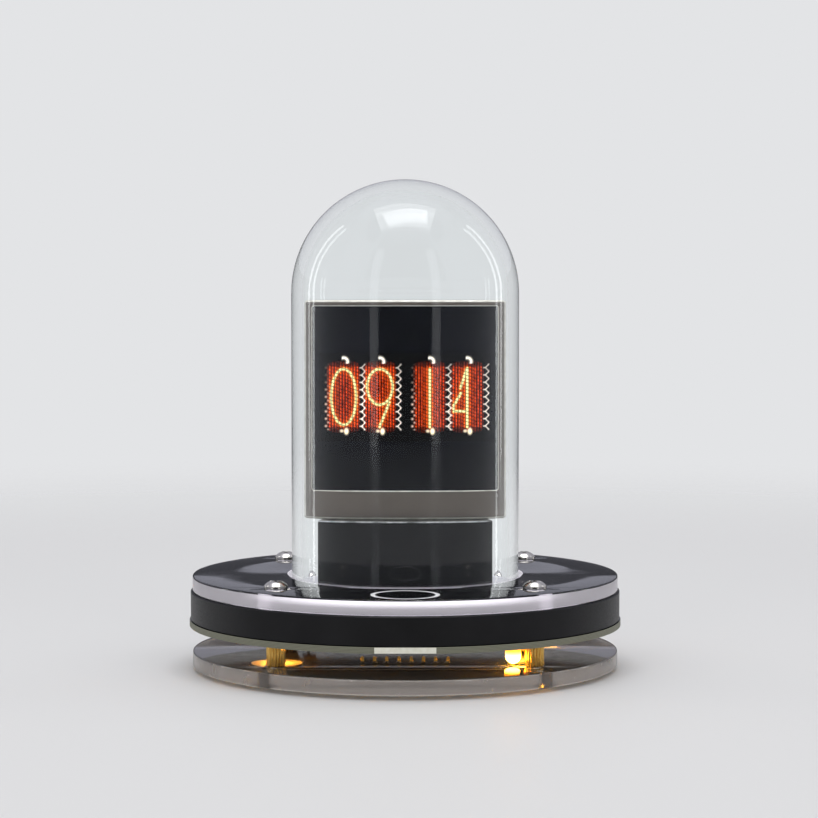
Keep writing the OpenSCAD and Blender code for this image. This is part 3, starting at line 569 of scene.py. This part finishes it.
def makeHousing():
    housing = {**inMetres(wall=1.6, deck=1.0, edge=0.15, slotFront=-1.8, boss=3.0, notchX=4.7, notchTop=3.45,
                          standScrew=(10.0, 2.3), standHole=0.95), "wallSteps": 256, "notchSteps": 12}
    boxLow, boxHigh = nodeBox("base_housing")
    low, high, edge = boxLow[2], boxHigh[2], housing["edge"]
    radius = boxHigh[0]
    inner, deckLow = radius - housing["wall"], high - housing["deck"]
    # The wall is a profile carried round, and its foot steps up over the power socket
    half, back = math.asin(housing["notchX"] / radius), math.pi / 2
    angle = np.concatenate([np.linspace(back + half, back - half + fullTurn, housing["wallSteps"]),
                            np.linspace(back - half, back + half, housing["notchSteps"])])
    lift = np.repeat([0, housing["notchTop"]], [housing["wallSteps"], housing["notchSteps"]])
    r = np.array([inner, inner, radius - edge, radius, radius, radius - edge, inner])[:, None]
    height = np.array([high, low, low, low + edge, high - edge, high, high])[:, None]
    lifted = np.array([0, 1, 1, 1, 0, 0, 0])[:, None]
    shape = Shape().grid(ringsAt(r, angle, height + lifted * lift))
    screwX, screwY = housing["standScrew"]
    standHoles = [circleRim((x, screwY), housing["standHole"], 24, hole=True) for x in (-screwX, screwX)]
    deckRims = [circleRim((0, 0), inner), slotRim(housing["slotFront"])] + screwHoles + standHoles
    addSheet(shape, deckRims, [(0, deckLow), (0, high)])
    for place, hole in zip(screwPlaces, screwHoles):
        addSheet(shape, [circleRim(place, housing["boss"], 48), hole], [(0, low), (0, deckLow)])
    makePiece("baseHousing", shape, [housingBlack], "base_housing")


print("housing")
makeHousing()


def crossDepth(x, y, width):  # 1 inside the cross-shaped recess, falling to 0 at its sloped sides
    arm, slope = width / 8, 0.07 * mm
    across = np.minimum(np.abs(x), np.abs(y))
    along = np.maximum(np.abs(x), np.abs(y))
    return np.clip((arm - across) / slope + 0.5, 0, 1) * np.clip((width / 2 - along) / slope + 0.5, 0, 1)


def screwHead(place, seat, head, down):
    # A round head: a short rim, then a flat dome whose height falls with a power of the radius
    angle = around(64)
    share = np.concatenate([np.linspace(0.004, 0.9, 34), [0.95, 0.98, 1.0]])[::-1, None]
    x, y = share * head["radius"] * np.cos(angle), share * head["radius"] * np.sin(angle)
    rise = head["height"] * (head["rim"] + (1 - head["rim"]) * (1 - share ** 2.6)) + 0 * angle
    rise = rise - head["depth"] * crossDepth(x, y, head["cross"])
    foot = np.zeros((1, len(angle)))
    x, y = np.vstack([x[:1] * 0.97, x[:1], x]), np.vstack([y[:1] * 0.97, y[:1], y])
    rise = np.vstack([foot, foot + 0.06 * mm, rise])
    side = -1 if down else 1
    return np.stack([place[0] + side * x, place[1] + y, seat + side * rise], -1)


def screwShank(place, low, high):  # a thread: the radius follows one ridge that climbs once a turn
    pitch = fastening["thread"]
    angle = around(32)
    height = np.linspace(low, high, int((high - low) / pitch * 10) + 2)[:, None]
    ridge = 1 - np.abs((height / pitch - angle / fullTurn) % 1 * 2 - 1)
    return ringsAt(fastening["shank"] - 0.256 * pitch * (1 - ridge), angle, height, place)


def addScrew(shape, place, seat, tip, head, down=False):
    shape.capped(screwHead(place, seat, head, down), down=down)
    shape.capped(screwShank(place, min(seat, tip), max(seat, tip)))


def makeScrews():
    topLow, topHigh = nodeBox("top_screws")
    footLow, footHigh = nodeBox("foot_screws")
    topHead = {**inMetres(radius=1.85, cross=1.8, depth=0.42), "height": topHigh[2] - plateHigh[2],
               "rim": 0.34}
    footHead = {**inMetres(radius=2.1, cross=2.1, depth=0.35), "height": baseLow[2] - footLow[2],
                "rim": 1.0}
    top, foot = Shape(), Shape()
    for place in screwPlaces:
        addScrew(top, place, plateHigh[2], topLow[2], topHead)
        addScrew(foot, place, baseLow[2], footHigh[2], footHead, down=True)
    makePiece("topScrews", top, [screwNickel], "top_screws", sharp=40)
    makePiece("footScrews", foot, [screwNickel], "foot_screws", sharp=40)


def makeSpacers():
    spacer = {**inMetres(fluteDepth=0.16, end=0.25), "flutes": 18, "steps": 144}
    low, high = spacerLow[2], spacerHigh[2]
    deep, end = spacer["fluteDepth"], spacer["end"]
    angle = around(spacer["steps"])
    flute = deep * np.abs(np.sin(angle * spacer["flutes"] / 2)) ** 0.6  # ridges between round grooves
    # Each ring's height, whether it is fluted, and how far its chamfer draws it in
    rows = [(low, 0, end / 2), (low + end / 2, 0, 0), (low + end, 1, 0),
            (high - end, 1, 0), (high - end / 2, 0, 0), (high, 0, end / 2)]
    height, fluted, inset = np.array(rows).T[:, :, None]
    radius = fastening["spacer"] - inset - 0.4 * deep * (1 - fluted) - fluted * (deep - flute)
    shape = Shape()
    for place in screwPlaces:
        outside = ringsAt(radius, angle, height, place)
        bore = wallRings(circleRim(place, fastening["bore"], 48, hole=True), [(0, low), (0, high)])
        shape.grid(outside).grid(bore)
        shape.fill([outside[0], bore[0]], False).fill([outside[-1], bore[-1]], True)
    makePiece("brassSpacers", shape, [spacerBrass], "base_spacers", sharp=50)


print("screws and spacers")
makeScrews()
makeSpacers()


def edgedWall(shape, rim, low, high, edge):  # a wall whose rounded upper edge takes the second finish
    rings = wallRings(rim, [(0, low)] + [(inset, high - drop) for inset, drop in roundEdge(edge)])
    shape.grid(rings[:2]).grid(rings[1:], slot=1)
    return rings


def makeStand():
    stand = inMetres(corner=0.35, edge=0.2, slotFront=-3.7)
    rims = boxRim(standLow[:2], standHigh[:2], stand["corner"]), slotRim(stand["slotFront"])
    shape = Shape()
    walls = [edgedWall(shape, rim, standLow[2], standHigh[2], stand["edge"]) for rim in rims]
    shape.fill([wall[0] for wall in walls], False).fill([wall[-1] for wall in walls], True)
    makePiece("displayStand", shape, [standBlack, standEdgePaintedHighlight], "display_stand")


def facing(points):  # lays a sheet drawn flat upright: its height becomes depth towards -Y
    return np.column_stack([points[:, 0], -points[:, 2], points[:, 1]])


def makeBezel():
    bezel = inMetres(sheet=0.25, corner=0.5, edge=0.3, window=29.0, topMargin=0.95, windowCorner=0.3,
                     windowEdge=0.14)
    boxLow, boxHigh = nodeBox("panel_bezel")
    front, back = -boxLow[1], -boxHigh[1]
    low, high = boxLow[[0, 2]], boxHigh[[0, 2]]
    sheet, side = bezel["sheet"], bezel["window"]
    windowHigh = np.array([side / 2, high[1] - bezel["topMargin"]])
    outline = boxRim(low, high, bezel["corner"])
    window = boxRim(windowHigh - side, windowHigh, bezel["windowCorner"], hole=True)
    liner = boxRim(low + sheet, high - sheet, bezel["corner"] - sheet, hole=True)
    shape = Shape()
    outerWall = edgedWall(shape, outline, back, front, bezel["edge"])
    windowWall = edgedWall(shape, window, front - sheet, front, bezel["windowEdge"])
    linerWall = wallRings(liner, [(0, back), (0, front - sheet)])
    shape.grid(linerWall).fill([outerWall[-1], windowWall[-1]], True)
    shape.fill([outerWall[0], linerWall[0]], False).fill([linerWall[-1][::-1], windowWall[0]], False)
    makePiece("panelBezel", shape, [bezelSteel, bezelEdgePaintedHighlight], "panel_bezel", place=facing)


print("stand and bezel")
makeStand()
makeBezel()

# The display's picture: four glow tubes, worked out point by point from the shapes of their parts

picture = inMetres(
    middles=(-9.7, -4.0, 3.9, 9.8),  # the tubes' middles along X
    height=44.1,  # their middle above the table
    margin=(1.1, 1.3),  # room round the outer tubes
    step=0.075)
tube = inMetres(
    halfWide=2.6, halfTall=5.7,
    lit=4.75,  # how far the mesh glows fully above and below the middle
    weave=0.43,  # the mesh's upright lines, as coarse as they need to show
    crossing=0.56,  # spacing of what crosses those lines, and of the mesh in front of the wires
    wire=0.19,  # half width of a glowing wire
    chainPitch=1.15)
tints = {  # the light of each part as red, green and blue
    "mesh": (2.4, 0.17, 0.01), "bloom": (0.3, 0.05, 0.004), "halo": (0.8, 0.24, 0.01),
    "core": (0.75, 0.85, 0.45), "chain": (0.8, 0.7, 0.62), "dots": (0.7, 0.5, 0.4), "hook": (1.0, 0.92, 0.8),
    "blob": (1.1, 0.92, 0.66)}
digits = {  # each digit's ovals as (x, z, half width, half height) and strokes as (start, end), in mm
    "zero": {"ovals": [(0, 0, 1.95, 4.4)], "lines": []},
    "nine": {"ovals": [(0, 1.6, 2.0, 2.8)], "lines": [((1.5, -0.85), (-0.05, -4.7))]},
    "one": {"ovals": [], "lines": [((0, 4.4), (0, -4.7))]},
    "four": {"ovals": [], "lines": [((0, 4.5), (0, -4.7)), ((-0.1, 4.4), (-1.06, 1.4)),
                                    ((-0.98, 0.6), (-2.1, -1.3)), ((-2.1, -1.3), (-2.1, -2.25)),
                                    ((-2.1, -2.25), (0, -2.25))]}}


def ovalGap(x, z, wide, tall):  # distance to an oval: how far the scaled radius is from 1, over its slope
    scaled = np.hypot(x / wide, z / tall) + 1e-9
    slope = np.hypot(x / wide ** 2, z / tall ** 2) / scaled + 1e-6
    return np.abs(scaled - 1) / slope


def lineGap(x, z, start, end):  # distance to a straight stroke
    run = end - start
    share = np.clip(((x - start[0]) * run[0] + (z - start[1]) * run[1]) / (run @ run), 0, 1)
    return np.hypot(x - start[0] - share * run[0], z - start[1] - share * run[1])


def digitGap(name, x, z):  # distance to the nearest wire of a digit
    gaps = [ovalGap(x - a * mm, z - b * mm, wide * mm, tall * mm)
            for a, b, wide, tall in digits[name]["ovals"]]
    gaps += [lineGap(x, z, np.array(start) * mm, np.array(end) * mm) for start, end in digits[name]["lines"]]
    return np.minimum.reduce(gaps)


def tinted(strength, part):
    return strength[..., None] * np.array(tints[part])


def softLine(away, width, power=2):  # 1 in the middle of a line, falling off beyond its width
    return np.exp(-(away / width) ** power)


def ramp(value, width):  # 0 to 1 over a short width
    return np.clip(value / width, 0, 1)


def wave(value, period, shift=0):
    return np.cos(value / period * fullTurn + shift)


def glowLight(name, x, z):  # the glowing mesh, and the digit's wires in front of it
    gap, column = digitGap(name, x, z), x / tube["weave"]
    # A round-ended tube: full between the straight sides, fading into the rounded ends
    cap = ramp(np.abs(z) - tube["lit"], tube["halfTall"] - tube["lit"])
    sides = ramp(tube["halfWide"] * np.sqrt(1 - cap ** 2 * 0.75) - np.abs(x), 0.12 * mm)
    inside = sides * (1 - cap) ** 0.8 * (1 - 0.68 * (cap > 0))
    # The anode behind the wires: fine upright lines of uneven strength, crossed by a fainter weave
    lines = np.clip(0.42 + 0.75 * wave(column, 1), 0, 1)
    patches = wave(x, 1.37 * mm, 0.8) * wave(z, 2.3 * mm, x / (0.9 * mm))
    weave = 0.74 + 0.26 * wave(z, tube["crossing"], np.round(column) * math.pi)
    warmth = 0.42 + 1.2 * softLine(gap, 0.8 * mm, 1)
    light = tinted(inside * (0.08 + 0.92 * lines) * (0.68 + 0.32 * patches) * weave * warmth, "mesh")
    light += tinted(inside * weave * softLine(gap, 0.5 * mm, 1), "bloom")
    light += tinted(softLine(gap, 0.23 * mm), "halo") + tinted(softLine(gap, tube["wire"], 4), "core")
    # The wires glow through a second mesh, whose slanting lines break them into short beads
    slanting, upright = (z + 0.3 * x) / tube["crossing"], x / tube["crossing"] + 0.5
    crossed = np.maximum(*(softLine(place - np.round(place), 0.21) for place in (slanting, upright)))
    return np.minimum(light, 1) * (1 - 0.8 * crossed)[..., None]


def sideLight(x, z):  # down the right side a zigzag of bright wire with short rungs, down the left dots
    edge, pitch = tube["halfWide"], tube["chainPitch"]
    within = ramp(tube["halfTall"] * 0.93 - np.abs(z), 0.2 * mm)
    tooth = ((z / pitch + 0.5) % 1 - 0.5) * pitch
    halfTooth = ((z / pitch) % 1 - 0.5) * pitch
    chain = softLine(x - edge - 0.5 * mm + 0.22 * mm * wave(tooth, pitch), 0.1 * mm)
    rung = softLine(tooth, 0.085 * mm) * ramp(x - edge + 0.15 * mm, 0.1 * mm)
    rung *= ramp(edge + 0.34 * mm - x, 0.1 * mm)
    light = tinted(np.maximum(chain, rung) * within * np.clip(1.15 - z / (9 * mm), 0.3, 1), "chain")
    dots = softLine(np.hypot(x + edge + 0.16 * mm, tooth), 0.15 * mm)
    dots += 0.7 * softLine(np.hypot(x + edge - 0.18 * mm, halfTooth), 0.13 * mm)
    return light + tinted(dots * within * np.clip(0.75 - z / (4.5 * mm), 0.12, 1), "dots")


def endLight(x, z):  # the wire ends catch the light: a hook over the top, two blobs under the foot
    hook = inMetres(height=5.55, radius=0.62, width=0.2, fade=0.35, low=5.3, left=-0.25)
    # Each blob's strength, middle and half widths, in mm
    blobs = [(1, (0.42, -5.4), (0.34, 0.5)), (0.6, (-0.3, -5.35), (0.3, 0.24))]
    up = z - hook["height"]
    bend = softLine(np.hypot(x, up) - hook["radius"], hook["width"])
    bend *= np.clip(0.5 + (x + up) / hook["fade"], 0, 1)
    light = tinted(bend * (z > hook["low"]) * (x > hook["left"]), "hook")
    for strength, middle, size in blobs:  # round spots with fairly sharp rims
        away = ((x / mm - middle[0]) / size[0]) ** 2 + ((z / mm - middle[1]) / size[1]) ** 2
        light += tinted(strength * softLine(away, 1), "blob")
    return light


def pictureLight(x, z):  # all four tubes' light at a place on the display
    up = z - picture["height"]
    total = sum(glowLight(name, x - middle, up) + sideLight(x - middle, up) + endLight(x - middle, up)
                for name, middle in zip(digits, picture["middles"]))
    return np.clip(total, 0, 1)


def lightPiece(piece):  # writes the picture's light into the piece's points
    points = np.empty(len(piece.data.vertices) * 3)
    piece.data.vertices.foreach_get("co", points)
    x, y, z = points.reshape(-1, 3).T
    light = np.column_stack([pictureLight(x, z), np.ones(len(x))])
    store = piece.data.color_attributes.new("picture", "FLOAT_COLOR", "POINT")
    store.data.foreach_set("color", light.ravel().astype(np.float32))


def makePicture():
    middles, step, height = picture["middles"], picture["step"], picture["height"]
    reach = tube["halfWide"] + picture["margin"][0]
    tall = tube["halfTall"] + picture["margin"][1]
    x, z = np.meshgrid(np.arange(middles[0] - reach, middles[-1] + reach, step),
                       np.arange(height - tall, height + tall, step))
    face = np.full(x.shape, glassFront - 0.02 * mm)
    shape = Shape().grid(np.stack([x, face, z], -1), closed=False)
    lightPiece(makePiece("displayPicture", shape, [displayLight]))


def strokePath(points, closed):  # a flat wire along a path, as a low ridge on the glass
    wire = inMetres(half=0.26, crest=0.075, foot=0.022)
    step = np.roll(points, -1, 0) - np.roll(points, 1, 0) if closed else np.gradient(points, axis=0)
    step /= np.hypot(step[:, 0], step[:, 1])[:, None]
    normal = np.column_stack([-step[:, 1], step[:, 0]])
    across = np.linspace(-1, 1, 7)[:, None]
    flat = points[None] + across[..., None] * wire["half"] * normal[None]
    depth = glassFront - wire["foot"] - wire["crest"] * (1 - across ** 2) ** 0.7 + 0 * flat[..., 0]
    return np.stack([flat[..., 0], depth, flat[..., 1]], -1)


def makeDigits():
    shape = Shape()
    angle = around(360)
    share = np.linspace(0, 1, 120)[:, None]
    for name, middle in zip(digits, picture["middles"]):
        centre = np.array([middle, picture["height"]])
        for a, b, wide, tall in digits[name]["ovals"]:
            ring = centre + np.column_stack([a + wide * np.cos(angle), b + tall * np.sin(angle)]) * mm
            shape.grid(strokePath(ring, True))
        for start, end in digits[name]["lines"]:
            run = centre + (np.array(start) * (1 - share) + np.array(end) * share) * mm
            shape.grid(strokePath(run, False), closed=False)
    lightPiece(makePiece("litDigits", shape, [displayLight], "lit_digits", sharp=80))


print("picture")
makePicture()
makeDigits()


def addBlock(shape, low, high, thick, corner, slot):  # a small block whose top edges are broken
    profile = [(0, 0), (0, thick - corner), (corner * 0.3, thick - corner * 0.3), (corner, thick)]
    addSheet(shape, [boxRim(low, high, corner, 3)], profile, slot, slot)


def makeBoardParts():  # drawn on the table, then laid onto the back of the upright board
    part = {**inMetres(wide=1.6, tall=0.8, thick=0.5, pitch=3, cap=0.28, bodyThick=0.48),
            "rows": ((4.2 * mm, 0), (7.2 * mm, 1))}
    transistor = inMetres(wide=3, tall=1.5, thick=1.1, foot=11.4, leadPitch=0.95, leadHalf=0.2,
                          leadLength=0.25, leadThick=0.3)
    shape = Shape()
    cap, wide = part["cap"], part["wide"]
    for row, material in part["rows"]:
        low = standHigh[2] + row
        high = low + part["tall"]
        for left in np.arange(-2, 3) * part["pitch"] - wide / 2:
            right = left + wide - cap
            addBlock(shape, (left + cap, low), (right, high), part["bodyThick"], 0.04 * mm, material)
            for start in (left, right):
                addBlock(shape, (start, low), (start + cap, high), part["thick"], 0.06 * mm, 2)
    half, length, leadThick = (transistor[key] for key in ("leadHalf", "leadLength", "leadThick"))
    low = standHigh[2] + transistor["foot"]
    side, high = transistor["wide"] / 2, low + transistor["tall"]
    addBlock(shape, (-side, low), (side, high), transistor["thick"], 0.12 * mm, 1)
    for x in np.arange(-1, 2) * transistor["leadPitch"]:
        for foot in (low - length, high):
            addBlock(shape, (x - half, foot), (x + half, foot + length), leadThick, 0.05 * mm, 2)
    back = nodeBox("display_board_parts")[0][1]
    piece = makePiece("displayBoardParts", shape, [capacitorCeramic, chipBlack, solderTin],
                      "display_board_parts", place=lambda points: points[:, [0, 2, 1]] + (0, back, 0))
    piece.data.flip_normals()


def makePins():
    pins = inMetres(half=0.25, tip=0.35, coneRadius=0.62, coneHeight=0.75)
    low, high, half, tip = pinLow[2], pinHigh[2], pins["half"], pins["tip"]
    # Solder climbs the pin: the radius falls with the square root of the height
    share = np.linspace(0, 1, 9)
    radius = pins["coneRadius"] - (pins["coneRadius"] - half * 0.8) * np.sqrt(share)
    cone = list(zip(radius, boardLow[2] - share * pins["coneHeight"]))[::-1]
    shape = Shape()
    for x in pinXs:
        rim = boxRim((x - half, pinY - half), (x + half, pinY + half), 0.05 * mm, 3)
        addSheet(shape, [rim], [(half * 0.5, low), (0, low + tip), (0, high - tip), (half * 0.5, high)])
        shape.capped(turned(cone, 24, (x, pinY)), 1)
    makePiece("headerPins", shape, [goldPinsWithPaintedGlow, solderTin], "header_pins")


def makeLamps():
    lamp = inMetres(radius=1.2, leadLength=0.7, leadHalf=0.22, leadPitch=1.3, edge=0.1)
    low, high = nodeBox("amber_lamps")
    x, y = frontLeftLamp
    radius, half, edge, top = lamp["radius"], lamp["leadHalf"], lamp["edge"], high[2] - lamp["leadLength"]
    # A round body whose ball-shaped tip points down, and two square leads up to the board
    body = arc((0, low[2] + radius), radius, -89, 0, 16) + arc((radius - edge, top - edge), edge, 0, 90, 5)
    shape = Shape()
    for resin in (0, 0, 0, 2):  # the last one doesn't shine
        shape.capped(turned(body, 48, (x, y)), resin)
        for leadX in (x - lamp["leadPitch"] / 2, x + lamp["leadPitch"] / 2):
            rim = boxRim((leadX - half, y - half), (leadX + half, y + half), 0.05 * mm, 3)
            addSheet(shape, [rim], [(0, top - edge), (0, high[2])], 1, 1)
    # All four are made at the front left, and each is turned a quarter further round the middle
    spins = np.array([[[math.cos(turn), math.sin(turn), 0], [-math.sin(turn), math.cos(turn), 0], [0, 0, 1]]
                      for turn in around(4)])
    makePiece("amberLamps", shape, [amberResin, tinnedSteel, restingResin], "amber_lamps",
              place=lambda points: (points.reshape(4, -1, 3) @ spins).reshape(-1, 3))


def makeSocket():
    socket = inMetres(wall=0.3, corner=1.25, flare=0.05, flareDepth=0.1)
    boxLow, boxHigh = nodeBox("socket_shell")
    low, high, wall = boxLow[[0, 2]], boxHigh[[0, 2]], socket["wall"]
    back, mouth = boxLow[1], boxHigh[1]
    lip = [(0, mouth - socket["flareDepth"]), (socket["flare"], mouth)]
    outside = wallRings(boxRim(low, high, socket["corner"], 12), [(0, back)] + lip)
    inside = wallRings(boxRim(low + wall, high - wall, socket["corner"] - wall, 12, hole=True),
                       [(0, back + wall)] + lip)
    shape = Shape().grid(outside).grid(inside).fill([outside[0]], False)
    shape.fill([outside[-1], inside[-1]], True).fill([inside[0][::-1]], True)
    piece = makePiece("socketShell", shape, [tinnedSteel], "socket_shell",
                      place=lambda points: points[:, [0, 2, 1]])
    piece.data.flip_normals()


def makeTouchSpring():
    spring = {**inMetres(wire=0.25, outer=3.8), "turns": 3, "taper": 0.72, "stepsPerTurn": 48, "sides": 10}
    low, high = nodeBox("touch_spring")
    wire, sides = spring["wire"], spring["sides"]
    share = np.linspace(0, 1, spring["stepsPerTurn"] * spring["turns"])[:, None]
    coil = (spring["outer"] - wire) * (1 + (spring["taper"] - 1) * share)
    height = low[2] + wire + (high[2] - low[2] - 2 * wire) * share
    # A round wire carried up a spiral that narrows as it climbs
    section = around(sides)
    rings = ringsAt(coil + wire * np.cos(section), share * spring["turns"] * fullTurn,
                    height + wire * np.sin(section), touchMiddle)[::-1]
    shape = Shape().grid(rings)
    shape.add(rings[0], [list(range(sides))]).add(rings[-1], [list(range(sides))[::-1]])
    makePiece("touchSpring", shape, [tinnedSteel], "touch_spring")


print("small parts")
makeBoardParts()
makePins()
makeLamps()
makeSocket()
makeTouchSpring()

useMaterial(displayBlack, "panel_glass")
useMaterial(lightGuide, "panel_backlight")
useMaterial(flexAmber, "panel_flex")
useMaterial(socketCream, "flex_socket")
useMaterial(foamBlack, "panel_tape")
useMaterial(maskBlack, "display_board", "radio_module")
useMaterial(chipBlack, "header_strip", "socket_tongue", "regulator", "clock_chip", "board_resistors")
useMaterial(capacitorCeramic, "board_capacitors")
useMaterial(tinnedSteel, "radio_shield", "clock_crystal")
useMaterial(screwNickel, "stand_screws")

# The studio: a pale floor that fades into the backdrop, soft lamps and the photograph's camera

print("studio")
studio = {"backdrop": "e3e4e6", "floor": "dcdcdd", "floorRings": (3.0, 1.0, 0.3, 0.1, 0.001),
          "fade": (0.14, 0.42), "worldLight": 0.55, "mirrorTint": "d8d9e8",
          "sideBox": 0.6, "frontCard": 0.08, "backCard": 0.2,  # how bright polished surfaces see them
          "frontCardSide": (-0.885, -0.835), "backCardSide": (0.3, 0.45),  # where the cards end, as -Y to +Y
          "backCardTop": (0.1205, 0.125), "ceiling": (0.72, 0.9)}  # heights, as the sine of the angle up


def makeFloor():
    points = ringsAt(np.array(studio["floorRings"])[:, None], around(96), 0)
    rings, steps = points.shape[:2]
    middle = list(range((rings - 1) * steps, rings * steps))
    mesh = bpy.data.meshes.new("floor")
    mesh.from_pydata(points.reshape(-1, 3).tolist(), [], gridFaces(rings, steps, True).tolist() + [middle])
    material, tree = newMaterial("PaleFloor")
    away = vectorNode(tree, "LENGTH", addNode(tree, "TexCoord")["Object"])["Value"]
    near = principled(tree, {"Base Color": linear(studio["floor"]), "Roughness": 0.6})
    far = addNode(tree, "BsdfTransparent")[0]
    endMaterial(tree, mixShaders(tree, softStep(tree, away, *studio["fade"], 0, 1), near, far))
    mesh.materials.append(material)
    floor = addObject("floor", mesh)


def makeWorld():
    world = bpy.data.worlds.new("studio")
    bpy.context.scene.world = world
    world.use_nodes = True
    tree = world.node_tree
    tree.nodes.clear()
    # Polished surfaces see white boxes at the sides, and dark cards behind the camera and the clock
    ray = addNode(tree, "TexCoord")["Generated"]
    level = vectorNode(tree, "NORMALIZE", vectorNode(tree, "MULTIPLY", ray, (1, 1, 0))[0])[0]
    side, height = alongAxis(tree, level, "Y"), alongAxis(tree, ray, "Z")
    front = softStep(tree, side, *studio["frontCardSide"], studio["frontCard"], studio["sideBox"])
    # The card behind the clock is low: over its upper edge the front of the top plate mirrors white
    back = mathNode(tree, "MAXIMUM", softStep(tree, side, *studio["backCardSide"], 1, studio["backCard"]),
                    softStep(tree, height, *studio["backCardTop"], 0, 1))
    boxes = mathNode(tree, "MAXIMUM", mathNode(tree, "MULTIPLY", front, back),
                     softStep(tree, height, *studio["ceiling"], 0, 1))

    def background(colour, strength=1.0):
        return addNode(tree, "Background", {"Color": linear(colour), "Strength": strength})[0]

    rays = addNode(tree, "LightPath")
    seen = mathNode(tree, "MAXIMUM", rays["Is Camera Ray"], rays["Is Transmission Ray"])
    mirrored = background(studio["mirrorTint"], boxes)
    unseen = mixShaders(tree, rays["Is Glossy Ray"], background("ffffff", studio["worldLight"]), mirrored)
    surroundings = mixShaders(tree, seen, unseen, background(studio["backdrop"]))
    addNode(tree, "OutputWorld", {"Surface": surroundings})


def addLamp(name, place, size, brightness):  # a soft box that faces the clock, its power from its area
    lamp = bpy.data.lights.new(name, "AREA")
    lamp.shape, lamp.size, lamp.size_y = "RECTANGLE", size[0], size[1]
    lamp.energy = brightness * math.pi * size[0] * size[1]
    holder = addObject(name, lamp)
    holder.location = place
    holder.rotation_euler = (Vector((0, 0, 0.04)) - Vector(place)).to_track_quat("-Z", "Y").to_euler()
    holder.visible_camera = False


def makeCamera():
    view = {"place": (-0.00028, -0.4706, 0.07155), "pitch": 3.63, "yaw": -0.11, "lens": 129.1}
    camera = bpy.data.cameras.new("camera")
    camera.lens, camera.sensor_width = view["lens"], 36
    camera.clip_start = 0.01
    holder = addObject("camera", camera)
    holder.location = view["place"]
    holder.rotation_euler = (math.radians(90 - view["pitch"]), 0, math.radians(view["yaw"]))
    bpy.context.scene.camera = holder


makeFloor()
makeWorld()
for side in (-1, 1):  # tall strips along the edges of the white boxes
    addLamp("frontStrip", (side * 0.42, -0.7, 0.25), (0.13, 1.0), 1.5)
    addLamp("rimStrip", (side * 0.74, 0.3, 0.25), (0.05, 1.0), 4.0)
addLamp("boxAbove", (0.0, -0.04, 0.85), (0.6, 0.45), 2.2)
addLamp("lampAbove", (0.01, -0.06, 0.8), (0.42, 0.24), 4.2)
makeCamera()
bpy.context.scene.view_settings.view_transform = "Standard"
